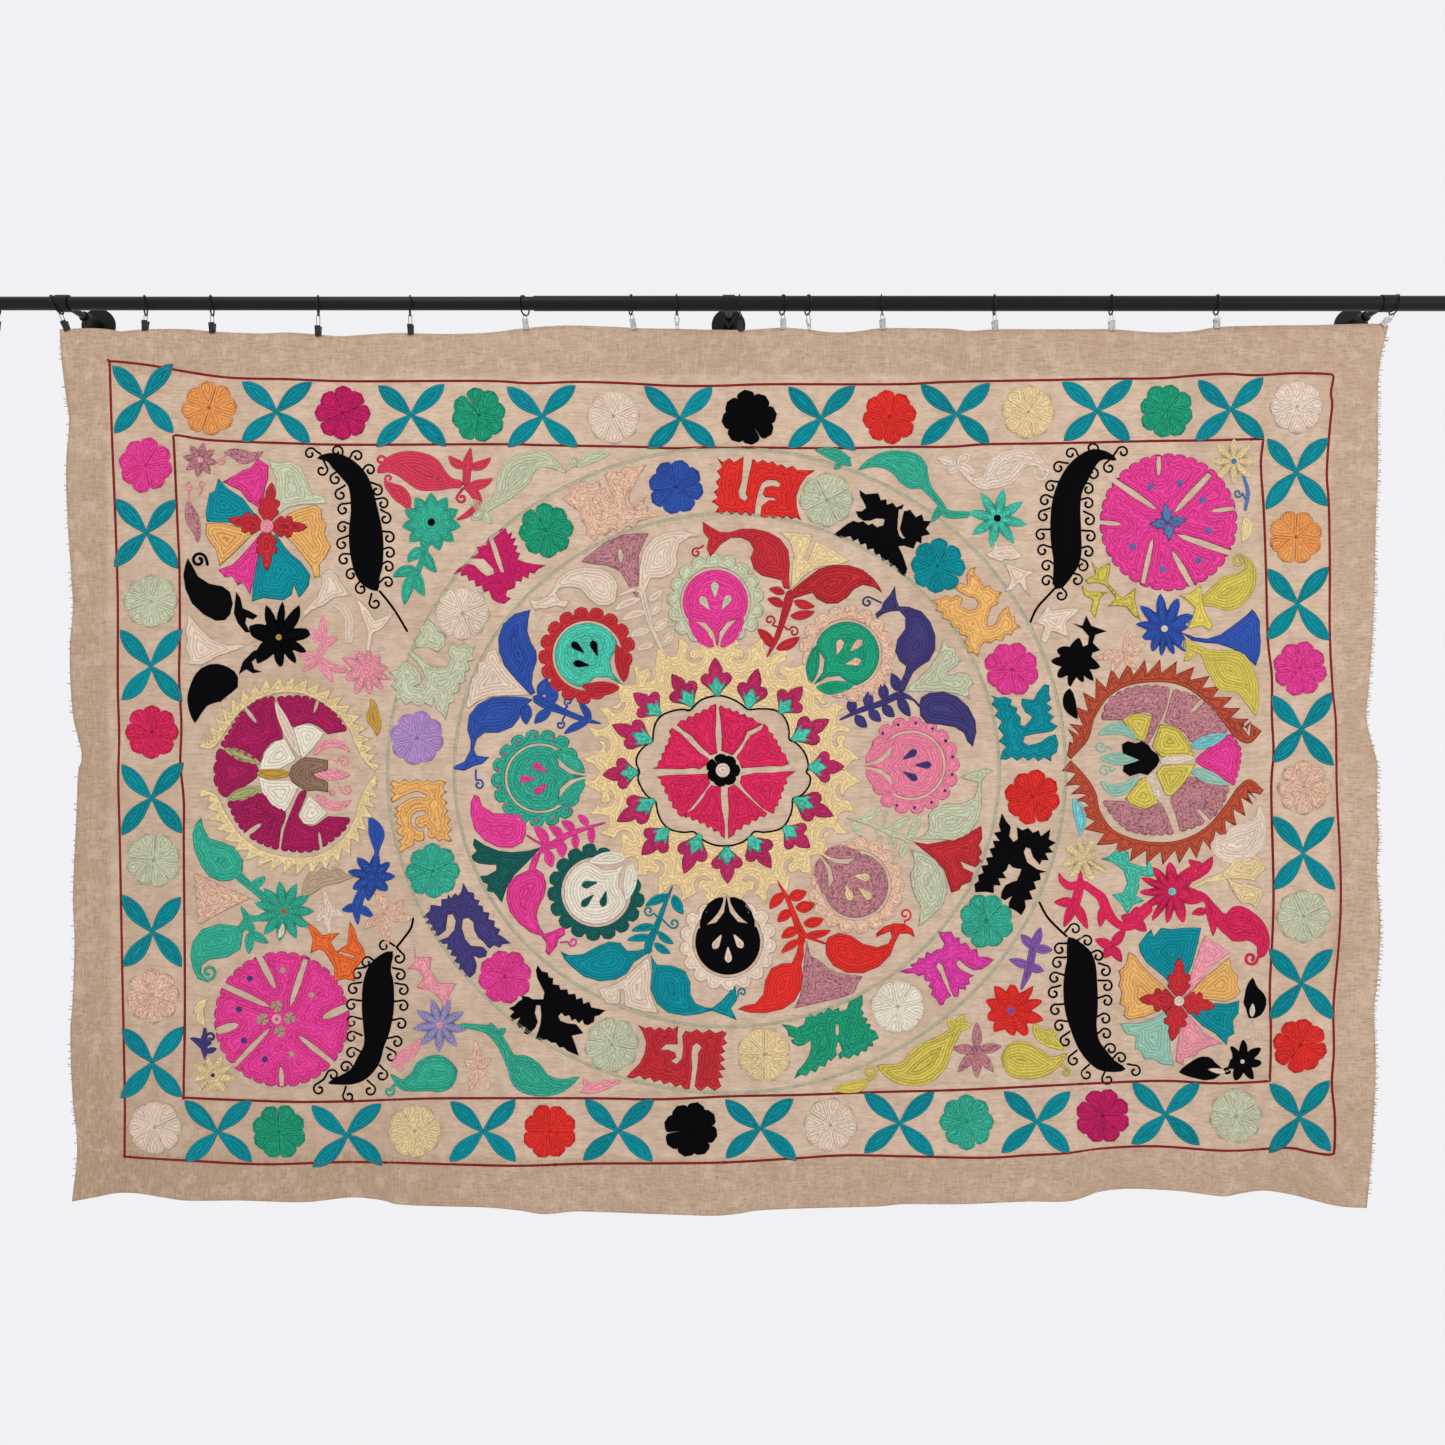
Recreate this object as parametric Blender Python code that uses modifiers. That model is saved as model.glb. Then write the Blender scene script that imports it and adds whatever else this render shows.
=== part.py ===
"""A suzani embroidered textile, hung by clip rings from a curtain rod on three wall brackets.

X runs along the rod, the embroidered side faces -Y and Z is up. The wall is the plane y = 0, and the
origin is the centre of the middle wall plate's back face. Names that end in _MM hold millimetres, and all
other lengths are metres.
"""
import math

import bmesh
import bpy
from mathutils import Matrix, Vector

MM = 0.001
CLEARANCE = 0.3 * MM

# Rod: a thick tube on the right, and a thin one that slides into it from the left
ROD_AXIS_Y = -0.125
THICK_RADIUS = 14.0 * MM
THIN_RADIUS = 12.5 * MM
TUBE_WALL = 1.2 * MM
TUBE_SIDES = 32
THICK_START_X = -0.370
THICK_END_X = 1.446
THIN_START_X = -1.470
TELESCOPE_OVERLAP = 0.120
CAP_THICKNESS = 5.0 * MM
CAP_LIP = 0.8 * MM

# Brackets: plate on the wall, sleeve, holder with its collar, and a set screw
BRACKETS = (
    # name, X, radius of the tube it carries
    ("left", -1.2635, THIN_RADIUS),
    ("centre", 0.0, THICK_RADIUS),
    ("right", 1.2490, THICK_RADIUS),
)
PLATE_RADIUS = 34.0 * MM
PLATE_THICKNESS = 5.0 * MM
PLATE_EDGE_BEVEL = 1.5 * MM
SLEEVE_RADIUS = 10.0 * MM
SLEEVE_LENGTH = 50.0 * MM
ARM_RADIUS = 6.2 * MM
COLLAR_RADIUS = 15.8 * MM
COLLAR_WIDTH = 23.4 * MM
SCREW_RADIUS = 2.5 * MM
SCREW_LENGTH = 8.0 * MM
SCREW_SETBACK = 7.0 * MM

# Rings and clips
RING_RADIUS = 18.5 * MM
RING_WIRE = 1.5 * MM
LINK_RADIUS = 3.0 * MM
LINK_WIRE = 0.6 * MM
CLIP_WIDTH = 11.0 * MM
CLIP_HEIGHT = 19.5 * MM
CLIP_HINGE = 9.5 * MM
CLIP_GRIP = 3.0 * MM
RINGS = (
    # name, X on the rod, lean of the ring in degrees, X of the clip, turn about the vertical, how it hangs
    ("01", -1391, 0, -1391, 12, "free"),
    ("02", -1284, 24, -1256, 0, "face"),
    ("03", -1109, 2, -1109, 16, "face"),
    ("04", -983, 2, -981, 11, "face"),
    ("05", -780, 0, -780, 14, "face"),
    ("06", -606, 1, -604, 18, "face"),
    ("07", -389, 2, -385, -20, "face"),
    ("08", -187, 3, -180, 16, "face"),
    ("09", -99, 0, -98, -2, "side"),
    ("10", 20, 2, 23, 0, "face"),
    ("11", 102, 1, 104, 18, "face"),
    ("12", 150, 1, 153, 16, "side"),
    ("13", 290, 2, 293, -9, "face"),
    ("14", 504, 1, 506, -5, "face"),
    ("15", 726, 1, 728, -5, "face"),
    ("16", 927, 0, 927, -4, "face"),
    ("17", 1267, -8, 1241, 0, "face"),
)

# Cloth: how it looks from CAMERA_DISTANCE in front of the rod, in the plane of the rod, and its folds
CLOTH_THICKNESS = 2.0 * MM
CLOTH_COLUMNS = 58
CLOTH_ROWS = 19
CAMERA_DISTANCE = 2.200
CAMERA_X = -0.012
CAMERA_Z = -0.796
FOLD_START = 0.45
FOLD_POWER = 3.3
TOP_EDGE_MM = (
    # X, below the rod's axis
    (-1271, 49), (-1212, 47), (-1178, 49), (-1154, 53), (-1134, 51), (-1110, 49), (-1024, 49), (-984, 53),
    (-888, 57), (-840, 55), (-804, 57), (-737, 62), (-688, 59), (-627, 56), (-538, 58), (-452, 55),
    (-397, 48), (-317, 42), (-228, 44), (-167, 47), (-106, 48), (-27, 50), (34, 50), (106, 46),
    (154, 50), (198, 55), (245, 53), (287, 47), (348, 47), (420, 48), (458, 52), (504, 49), (589, 49),
    (669, 49), (728, 49), (813, 55), (885, 52), (925, 45), (1018, 42), (1117, 41), (1184, 39),
    (1243, 39), (1253, 43),
)
LEFT_EDGE_MM = (
    # below the rod's axis, X
    (49, -1271), (104, -1268), (184, -1258), (222, -1253), (307, -1259), (414, -1256), (522, -1249),
    (577, -1246), (659, -1252), (782, -1246), (866, -1228), (883, -1235), (963, -1239), (1130, -1246),
    (1215, -1243), (1331, -1247), (1381, -1251), (1504, -1247), (1607, -1238), (1706, -1248),
)
RIGHT_EDGE_MM = (
    # below the rod's axis, X
    (43, 1253), (115, 1237), (184, 1233), (322, 1233), (414, 1229), (541, 1227), (647, 1222), (739, 1215),
    (790, 1211), (847, 1224), (877, 1232), (963, 1231), (1018, 1235), (1073, 1231), (1187, 1238),
    (1299, 1231), (1339, 1226), (1447, 1229), (1529, 1226), (1628, 1220), (1718, 1212),
)
HEM_MM = (
    # X, below the rod's axis, how far the hem swings towards the wall
    (-1248, 1706, 6), (-1195, 1696, 28), (-1165, 1690, 41), (-1127, 1690, 40), (-1075, 1698, 23),
    (-1032, 1704, 12), (-929, 1704, 10), (-804, 1707, 13), (-714, 1698, 35), (-656, 1704, 27),
    (-631, 1711, 14), (-547, 1715, 9), (-464, 1717, 9), (-397, 1723, 0), (-352, 1730, -10),
    (-296, 1725, -1), (-239, 1726, 0), (-184, 1728, -3), (-101, 1731, -9), (-28, 1733, -13),
    (11, 1730, -9), (55, 1723, 3), (144, 1719, 8), (222, 1717, 8), (289, 1715, 11), (329, 1711, 15),
    (439, 1711, 12), (568, 1706, 18), (640, 1706, 16), (669, 1700, 27), (701, 1688, 51), (747, 1682, 62),
    (790, 1682, 62), (857, 1686, 53), (903, 1692, 40), (942, 1696, 32), (975, 1690, 43), (1017, 1685, 55),
    (1070, 1693, 40), (1113, 1704, 20), (1148, 1713, 5), (1180, 1717, -4), (1212, 1718, -7),
)
TROUGHS_MM = (
    # X, half width, depth towards the wall, share of the height where it starts
    (-1195, 60, 7, 0.35),
    (-700, 70, 5, 0.55),
    (670, 45, 6, 0.45),
    (990, 80, 9, 0.35),
    (1172, 40, 6, 0.10),
)


class Reading:
    """A smooth curve through table rows of (position, value), both in millimetres."""

    def __init__(self, rows):
        self.at = [row[0] for row in rows]
        self.value = [row[1] for row in rows]
        last = len(rows) - 1
        self.slope = []
        for i in range(len(rows)):
            before, after = max(i - 1, 0), min(i + 1, last)
            rise = self.value[after] - self.value[before]
            self.slope.append(rise / (self.at[after] - self.at[before]))

    def __call__(self, position):
        position = min(max(position, self.at[0]), self.at[-1])
        i = 0
        while i < len(self.at) - 2 and position > self.at[i + 1]:
            i += 1
        span = self.at[i + 1] - self.at[i]
        t = (position - self.at[i]) / span
        start, end = self.value[i], self.value[i + 1]
        cubic = (2 * t**3 - 3 * t**2 + 1) * start + (3 * t**2 - 2 * t**3) * end
        return cubic + span * ((t**3 - 2 * t**2 + t) * self.slope[i] + (t**3 - t**2) * self.slope[i + 1])


top_edge = Reading(TOP_EDGE_MM)
left_edge = Reading(LEFT_EDGE_MM)
right_edge = Reading(RIGHT_EDGE_MM)
hem_edge = Reading([(x, below) for x, below, depth in HEM_MM])
hem_depth = Reading([(x, depth) for x, below, depth in HEM_MM])


def mix(start, end, share):
    return start + (end - start) * share


def smooth_step(value):
    value = min(max(value, 0.0), 1.0)
    return value * value * (3 - 2 * value)


def cloth_depth_mm(x, share):
    """How far the cloth lies towards the wall at X, a share of the way down from top to hem."""
    depth = hem_depth(x) * max(0.0, (share - FOLD_START) / (1 - FOLD_START)) ** FOLD_POWER
    for centre, half_width, trough, start in TROUGHS_MM:
        across = max(0.0, 1 - ((x - centre) / half_width) ** 2) ** 2
        depth += trough * across * smooth_step((share - start) / 0.25) * (1 - share**4)
    return depth


def cloth_point(across, share):
    """A point of the cloth's middle surface, from its share of the width and of the height."""
    left = left_edge(mix(top_edge(-1271), hem_edge(-1248), share))
    right = right_edge(mix(top_edge(1253), hem_edge(1212), share))
    x = mix(left, right, across)
    below = mix(top_edge(x), hem_edge(x), share)
    depth = cloth_depth_mm(x, share) * MM
    grow = 1 + depth / CAMERA_DISTANCE
    seen = Vector((x * MM, 0, -below * MM))
    eye = Vector((CAMERA_X, 0, CAMERA_Z))
    return eye + (seen - eye) * grow + Vector((0, ROD_AXIS_Y + depth, 0))


def clear_scene():
    for thing in list(bpy.data.objects):
        bpy.data.objects.remove(thing, do_unlink=True)


def make_collection(name):
    collection = bpy.data.collections.new(name)
    bpy.context.scene.collection.children.link(collection)
    return collection


def make_material(name, colour, roughness, metallic=0.0):
    material = bpy.data.materials.new(name)
    material.use_nodes = True
    shader = material.node_tree.nodes["Principled BSDF"]
    shader.inputs["Base Color"].default_value = (*colour, 1)
    shader.inputs["Roughness"].default_value = roughness
    shader.inputs["Metallic"].default_value = metallic
    return material


def place(name, mesh, material, collection):
    """Links a finished mesh as the object of one sub-part."""
    mesh.name = name
    mesh.materials.clear()
    mesh.materials.append(material)
    thing = bpy.data.objects.new(name, mesh)
    collection.objects.link(thing)
    return thing


def take_primitive(transform=None):
    """Takes the mesh of the primitive that was just added and removes its object."""
    thing = bpy.context.object
    mesh = thing.data
    bpy.data.objects.remove(thing, do_unlink=True)
    if transform is not None:
        mesh.transform(transform)
    return mesh


def cylinder(radius, start, end, sides):
    """A solid cylinder between two points."""
    run = Vector(end) - Vector(start)
    bpy.ops.mesh.primitive_cylinder_add(vertices=sides, radius=radius, depth=run.length)
    turn = run.to_track_quat("Z", "Y").to_matrix().to_4x4()
    return take_primitive(Matrix.Translation(Vector(start) + run / 2) @ turn)


def evaluated_mesh(thing):
    """The object's mesh with its modifiers applied; the object itself is removed."""
    depsgraph = bpy.context.evaluated_depsgraph_get()
    mesh = bpy.data.meshes.new_from_object(thing.evaluated_get(depsgraph))
    mesh.transform(thing.matrix_world)
    bpy.data.objects.remove(thing, do_unlink=True)
    weld = bmesh.new()
    weld.from_mesh(mesh)
    bmesh.ops.remove_doubles(weld, verts=weld.verts, dist=0.00001)
    weld.to_mesh(mesh)
    weld.free()
    return mesh


def combine(first, second, operation):
    """Boolean of two closed meshes."""
    things = []
    for mesh in (first, second):
        thing = bpy.data.objects.new("blank", mesh)
        bpy.context.scene.collection.objects.link(thing)
        things.append(thing)
    boolean = things[0].modifiers.new("boolean", "BOOLEAN")
    boolean.operation = operation
    boolean.solver = "EXACT"
    boolean.object = things[1]
    result = evaluated_mesh(things[0])
    bpy.data.objects.remove(things[1], do_unlink=True)
    return result


def shade_round(thing, angle=40):
    thing.data.shade_smooth()
    thing.data.set_sharp_from_angle(angle=math.radians(angle))


def pipe(outer, inner, start, end):
    """A hollow round tube between two points, cut from one solid cylinder by another."""
    run = (Vector(end) - Vector(start)).normalized() * 0.010
    body = cylinder(outer, start, end, TUBE_SIDES)
    bore = cylinder(inner, Vector(start) - run, Vector(end) + run, TUBE_SIDES)
    return combine(body, bore, "DIFFERENCE")


def build_rod(collection, black):
    tubes = (
        ("rod_thick_tube", THICK_RADIUS, THICK_START_X, THICK_END_X),
        ("rod_thin_tube", THIN_RADIUS, THIN_START_X, THICK_START_X + TELESCOPE_OVERLAP),
    )
    for name, radius, start, end in tubes:
        mesh = pipe(radius, radius - TUBE_WALL, (start, ROD_AXIS_Y, 0), (end, ROD_AXIS_Y, 0))
        shade_round(place(name, mesh, black, collection))
    caps = (
        ("rod_cap_left", THIN_RADIUS, THIN_START_X, -1),
        ("rod_cap_right", THICK_RADIUS, THICK_END_X, 1),
    )
    for name, radius, end, outward in caps:
        inner = (end + outward * CLEARANCE, ROD_AXIS_Y, 0)
        outer = (end + outward * (CLEARANCE + CAP_THICKNESS), ROD_AXIS_Y, 0)
        thing = place(name, cylinder(radius + CAP_LIP, inner, outer, TUBE_SIDES), black, collection)
        shade_round(thing)


def build_bracket(side, x, tube_radius, collection, black):
    front = -PLATE_THICKNESS
    plate = place(f"bracket_{side}_plate", cylinder(PLATE_RADIUS, (x, 0, 0), (x, front, 0), 40),
                  black, collection)
    bevel = bmesh.new()
    bevel.from_mesh(plate.data)
    rim = [edge for edge in bevel.edges if all(abs(vert.co.y - front) < 0.0001 for vert in edge.verts)]
    bmesh.ops.bevel(bevel, geom=rim, offset=PLATE_EDGE_BEVEL, segments=1, profile=0.5, affect="EDGES")
    bevel.to_mesh(plate.data)
    bevel.free()

    sleeve_start = front - CLEARANCE
    sleeve_end = sleeve_start - SLEEVE_LENGTH
    sleeve = pipe(SLEEVE_RADIUS, ARM_RADIUS + CLEARANCE, (x, sleeve_start, 0), (x, sleeve_end, 0))
    shade_round(place(f"bracket_{side}_sleeve", sleeve, black, collection))

    half = COLLAR_WIDTH / 2
    collar = cylinder(COLLAR_RADIUS, (x - half, ROD_AXIS_Y, 0), (x + half, ROD_AXIS_Y, 0), TUBE_SIDES)
    arm = cylinder(ARM_RADIUS, (x, sleeve_start - CLEARANCE, 0), (x, ROD_AXIS_Y, 0), 20)
    bore = cylinder(tube_radius + CLEARANCE, (x - COLLAR_WIDTH, ROD_AXIS_Y, 0),
                    (x + COLLAR_WIDTH, ROD_AXIS_Y, 0), TUBE_SIDES)
    holder = combine(combine(collar, arm, "UNION"), bore, "DIFFERENCE")
    shade_round(place(f"bracket_{side}_holder", holder, black, collection))

    screw_y = sleeve_end + SCREW_SETBACK
    screw_top = -SLEEVE_RADIUS - CLEARANCE
    screw = cylinder(SCREW_RADIUS, (x, screw_y, screw_top), (x, screw_y, screw_top - SCREW_LENGTH), 12)
    shade_round(place(f"bracket_{side}_screw", screw, black, collection))


def clip_body_mesh():
    """The clip's two levers and their hinge: its side outline, extruded over the clip's width.

    The jaw tips are at z = 0 and the slot between them takes the cloth."""
    jaw = CLOTH_THICKNESS / 2 + CLEARANCE
    half_outline = (
        # distance from the cloth's plane, height, of the back half from the slot's root to the lever's foot
        (1.0 * MM, CLIP_HINGE - 2.0 * MM), (2.2 * MM, 5.5 * MM), (jaw, 4.2 * MM), (jaw, 0.0),
        (jaw + 1.1 * MM, 0.0), (3.6 * MM, CLIP_HINGE), (5.2 * MM, CLIP_HEIGHT - 0.4 * MM),
        (4.2 * MM, CLIP_HEIGHT), (1.6 * MM, CLIP_HINGE + 2.0 * MM),
    )
    outline = list(half_outline) + [(-y, z) for y, z in reversed(half_outline)]
    curve = bpy.data.curves.new("clip_outline", "CURVE")
    curve.dimensions = "2D"
    curve.fill_mode = "BOTH"
    curve.extrude = CLIP_WIDTH / 2
    spline = curve.splines.new("POLY")
    spline.points.add(len(outline) - 1)
    spline.use_cyclic_u = True
    for point, (y, z) in zip(spline.points, outline):
        point.co = (y, z, 0, 1)
    thing = bpy.data.objects.new("clip_outline", curve)
    bpy.context.scene.collection.objects.link(thing)
    bpy.context.view_layer.update()
    mesh = evaluated_mesh(thing)
    # the outline's own X and Y become the part's Y and Z, and its thickness runs along X
    mesh.transform(Matrix(((0, 0, 1, 0), (1, 0, 0, 0), (0, 1, 0, 0), (0, 0, 0, 1))))
    return mesh


def link_mesh(top, bottom):
    """The wire loop that joins a clip's hinge to its ring, a long ring in the XZ plane."""
    curve = bpy.data.curves.new("link", "CURVE")
    curve.dimensions = "3D"
    curve.bevel_depth = LINK_WIRE
    curve.bevel_resolution = 0
    steps = 6
    ends = ((top - LINK_RADIUS, 0.0), (bottom + LINK_RADIUS, math.pi))
    points = []
    for centre, start in ends:
        for step in range(steps):
            angle = start + math.pi * step / (steps - 1)
            points.append((LINK_RADIUS * math.cos(angle), 0, centre + LINK_RADIUS * math.sin(angle), 1))
    spline = curve.splines.new("POLY")
    spline.points.add(len(points) - 1)
    spline.use_cyclic_u = True
    for point, co in zip(spline.points, points):
        point.co = co
    thing = bpy.data.objects.new("link", curve)
    bpy.context.scene.collection.objects.link(thing)
    bpy.context.view_layer.update()
    return evaluated_mesh(thing)


def leaning(point, lean):
    """Places a piece that hangs down from a point and leans along the rod."""
    return Matrix.Translation(point) @ Matrix.Rotation(-lean, 4, "Y")


def build_ring(name, ring_x, ring_lean, clip_x, turn, hang, collection, black, steel):
    """A ring on the rod, and the clip that hangs from it and holds the cloth's top edge."""
    tube_radius = THICK_RADIUS if ring_x * MM > THICK_START_X else THIN_RADIUS
    lean = math.radians(ring_lean)
    seat = Vector((ring_x * MM, ROD_AXIS_Y, tube_radius + CLEARANCE + RING_WIRE * (1 - math.cos(lean))))
    hole = RING_RADIUS - RING_WIRE
    on_rod = leaning(seat, lean)
    bpy.ops.mesh.primitive_torus_add(major_radius=RING_RADIUS, minor_radius=RING_WIRE,
                                     major_segments=16, minor_segments=6)
    upright = Matrix.Rotation(math.radians(turn), 4, "Z") @ Matrix.Rotation(math.pi / 2, 4, "Y")
    ring = take_primitive(on_rod @ Matrix.Translation((0, 0, -hole)) @ upright)
    thing = place(f"ring_{name}", ring, black, collection)
    thing.data.shade_smooth()

    ring_foot = on_rod @ Vector((0, 0, -2 * hole - RING_WIRE))
    edge_z = -top_edge(clip_x) * MM
    tip = Vector((clip_x * MM, ROD_AXIS_Y, edge_z + CLEARANCE if hang == "side" else edge_z - CLIP_GRIP))
    reach = (ring_foot - tip).length
    body = clip_body_mesh()
    if hang == "side":
        body.transform(Matrix.Rotation(math.pi / 2, 4, "Z"))
    body.transform(Matrix.Translation((0, 0, -reach)))
    link = link_mesh(RING_WIRE + CLEARANCE + LINK_WIRE, CLIP_HINGE - LINK_WIRE - reach)
    clip = combine(body, link, "UNION")
    clip.transform(leaning(ring_foot, math.atan2(tip.x - ring_foot.x, ring_foot.z - tip.z)))
    place(f"clip_{name}", clip, steel, collection)


def build_cloth(collection, linen):
    grid = bmesh.new()
    bmesh.ops.create_grid(grid, x_segments=CLOTH_COLUMNS, y_segments=CLOTH_ROWS, size=1.0)
    for vert in grid.verts:
        across = (vert.co.x + 1) / 2
        down = (1 - vert.co.y) / 2
        # the rows are closer together near the hem, where the folds are
        vert.co = cloth_point(across, 1 - (1 - down) ** 1.25)
    mesh = bpy.data.meshes.new("cloth")
    grid.to_mesh(mesh)
    grid.free()
    thing = place("cloth", mesh, linen, collection)
    sheet = thing.modifiers.new("sheet", "SOLIDIFY")
    sheet.thickness = CLOTH_THICKNESS
    sheet.offset = 0.0
    thing.data.shade_smooth()


def main():
    clear_scene()
    collection = make_collection("suzani_hanging")
    linen = make_material("linen", (0.62, 0.47, 0.35), 0.9)
    black = make_material("black_paint", (0.02, 0.02, 0.023), 0.45)
    steel = make_material("clip_steel", (0.35, 0.35, 0.36), 0.35, metallic=1.0)
    build_rod(collection, black)
    for side, x, tube_radius in BRACKETS:
        build_bracket(side, x, tube_radius, collection, black)
    for ring in RINGS:
        build_ring(*ring, collection, black, steel)
    build_cloth(collection, linen)


main()
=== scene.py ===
"""The looks of the suzani hanging: its linen, its raised embroidery and its black rod with rings and clips.

The motifs are charted as an embroiderer charts them, in squares of 1.9 mm counted to the right and down, as
the cloth is seen from the camera. Each is sewn flat on that chart and then laid on the hanging cloth. The
first part of the script makes the cloth's shape, then come the finishes, the ways of sewing, the charts from
the border inwards, and the pieces, stage and camera.
"""

import math
import random

import bmesh
import bpy
import numpy as np
from mathutils import Matrix, Vector


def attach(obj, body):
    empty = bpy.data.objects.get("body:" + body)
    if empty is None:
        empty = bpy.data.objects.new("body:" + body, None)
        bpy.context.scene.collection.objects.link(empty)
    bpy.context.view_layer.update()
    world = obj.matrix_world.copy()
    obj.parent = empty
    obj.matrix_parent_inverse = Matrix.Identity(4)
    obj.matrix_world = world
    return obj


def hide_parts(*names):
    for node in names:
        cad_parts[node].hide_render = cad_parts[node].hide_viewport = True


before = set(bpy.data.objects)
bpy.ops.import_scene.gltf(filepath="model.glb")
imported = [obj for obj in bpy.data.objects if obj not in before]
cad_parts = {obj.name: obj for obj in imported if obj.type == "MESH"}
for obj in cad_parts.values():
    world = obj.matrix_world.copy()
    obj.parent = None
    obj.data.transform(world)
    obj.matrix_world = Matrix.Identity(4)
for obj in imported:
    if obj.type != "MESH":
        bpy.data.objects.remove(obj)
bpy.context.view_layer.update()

MM = 0.001
SQUARE_MM = 1.9
ROD_COLUMN = 729.0
ROD_ROW = 303.3
ROD_AXIS_Y = -0.125

# The hanging cloth, in the part's own values
CAMERA_DISTANCE = 2.200
CAMERA_X = -0.012
CAMERA_Z = -0.796
FOLD_START = 0.45
FOLD_POWER = 3.3
TOP_EDGE_MM = (
    # X, below the rod's axis
    (-1271, 49), (-1212, 47), (-1178, 49), (-1154, 53), (-1134, 51), (-1110, 49), (-1024, 49), (-984, 53),
    (-888, 57), (-840, 55), (-804, 57), (-737, 62), (-688, 59), (-627, 56), (-538, 58), (-452, 55),
    (-397, 48), (-317, 42), (-228, 44), (-167, 47), (-106, 48), (-27, 50), (34, 50), (106, 46),
    (154, 50), (198, 55), (245, 53), (287, 47), (348, 47), (420, 48), (458, 52), (504, 49), (589, 49),
    (669, 49), (728, 49), (813, 55), (885, 52), (925, 45), (1018, 42), (1117, 41), (1184, 39),
    (1243, 39), (1253, 43),
)
LEFT_EDGE_MM = (
    # below the rod's axis, X
    (49, -1271), (104, -1268), (184, -1258), (222, -1253), (307, -1259), (414, -1256), (522, -1249),
    (577, -1246), (659, -1252), (782, -1246), (866, -1228), (883, -1235), (963, -1239), (1130, -1246),
    (1215, -1243), (1331, -1247), (1381, -1251), (1504, -1247), (1607, -1238), (1706, -1248),
)
RIGHT_EDGE_MM = (
    # below the rod's axis, X
    (43, 1253), (115, 1237), (184, 1233), (322, 1233), (414, 1229), (541, 1227), (647, 1222), (739, 1215),
    (790, 1211), (847, 1224), (877, 1232), (963, 1231), (1018, 1235), (1073, 1231), (1187, 1238),
    (1299, 1231), (1339, 1226), (1447, 1229), (1529, 1226), (1628, 1220), (1718, 1212),
)
HEM_MM = (
    # X, below the rod's axis, how far the hem swings towards the wall
    (-1248, 1706, 6), (-1195, 1696, 28), (-1165, 1690, 41), (-1127, 1690, 40), (-1075, 1698, 23),
    (-1032, 1704, 12), (-929, 1704, 10), (-804, 1707, 13), (-714, 1698, 35), (-656, 1704, 27),
    (-631, 1711, 14), (-547, 1715, 9), (-464, 1717, 9), (-397, 1723, 0), (-352, 1730, -10),
    (-296, 1725, -1), (-239, 1726, 0), (-184, 1728, -3), (-101, 1731, -9), (-28, 1733, -13),
    (11, 1730, -9), (55, 1723, 3), (144, 1719, 8), (222, 1717, 8), (289, 1715, 11), (329, 1711, 15),
    (439, 1711, 12), (568, 1706, 18), (640, 1706, 16), (669, 1700, 27), (701, 1688, 51), (747, 1682, 62),
    (790, 1682, 62), (857, 1686, 53), (903, 1692, 40), (942, 1696, 32), (975, 1690, 43), (1017, 1685, 55),
    (1070, 1693, 40), (1113, 1704, 20), (1148, 1713, 5), (1180, 1717, -4), (1212, 1718, -7),
)
TROUGHS_MM = (
    # X, half width, depth towards the wall, share of the height where it starts
    (-1195, 60, 7, 0.35),
    (-700, 70, 5, 0.55),
    (670, 45, 6, 0.45),
    (990, 80, 9, 0.35),
    (1172, 40, 6, 0.10),
)
CREASES_MM = (
    # X, half width, depth towards the wall, share of the height where it starts and ends
    (-714, 13, 1.6, 0.70, 1.02),
    (-655, 13, 1.5, 0.62, 1.02),
    (-8, 13, 1.3, 0.66, 1.02),
    (-1231, 14, 1.8, 0.02, 0.35),
    (670, 12, 1.5, 0.20, 0.98),
    (990, 26, 1.6, 0.00, 0.90),
    (1212, 13, 1.6, 0.04, 0.60),
    (420, 20, 1.2, 0.55, 1.02),
    (-330, 16, 1.4, 0.72, 1.02),
)
CRUMPLES = (
    # height in mm, length of the wave in mm along X and down, phase
    (0.55, 310, 900, 0.3),
    (0.45, 170, -620, 1.7),
    (0.35, -120, 260, 4.1),
    (0.30, 95, 410, 2.2),
    (0.22, 70, -150, 5.3),
)

# Embroidery heights above the cloth's middle surface
CLOTH_THICKNESS_MM = 1.0
SUNK_MM = 0.25
EDGE_MM = 1.15
GROOVE_MM = 1.25
RIDGE_MM = 1.75

# Widths of a row of stitches, as dyed and as modelled, and of a patch's cells in squares of the chart
ROW_MM = 6.0
MESH_ROW_MM = 3.8
CELL = 3.2


class Reading:
    """A smooth curve through table rows of (position, value), both in millimetres."""

    def __init__(self, rows):
        self.at, self.value = np.array(rows, float).T
        before = np.maximum(np.arange(len(rows)) - 1, 0)
        after = np.minimum(np.arange(len(rows)) + 1, len(rows) - 1)
        self.slope = (self.value[after] - self.value[before]) / (self.at[after] - self.at[before])

    def __call__(self, position):
        position = np.clip(position, self.at[0], self.at[-1])
        i = np.clip(np.searchsorted(self.at, position) - 1, 0, len(self.at) - 2)
        span = self.at[i + 1] - self.at[i]
        t = (position - self.at[i]) / span
        start, end = self.value[i], self.value[i + 1]
        cubic = (2 * t**3 - 3 * t**2 + 1) * start + (3 * t**2 - 2 * t**3) * end
        return cubic + span * ((t**3 - 2 * t**2 + t) * self.slope[i] + (t**3 - t**2) * self.slope[i + 1])


top_edge = Reading(TOP_EDGE_MM)
left_edge = Reading(LEFT_EDGE_MM)
right_edge = Reading(RIGHT_EDGE_MM)
hem_edge = Reading([(x, below) for x, below, depth in HEM_MM])
hem_depth = Reading([(x, depth) for x, below, depth in HEM_MM])


def mix(start, end, share):
    return start + (end - start) * share


def smooth_step(value):
    value = np.clip(value, 0.0, 1.0)
    return value * value * (3 - 2 * value)


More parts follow.
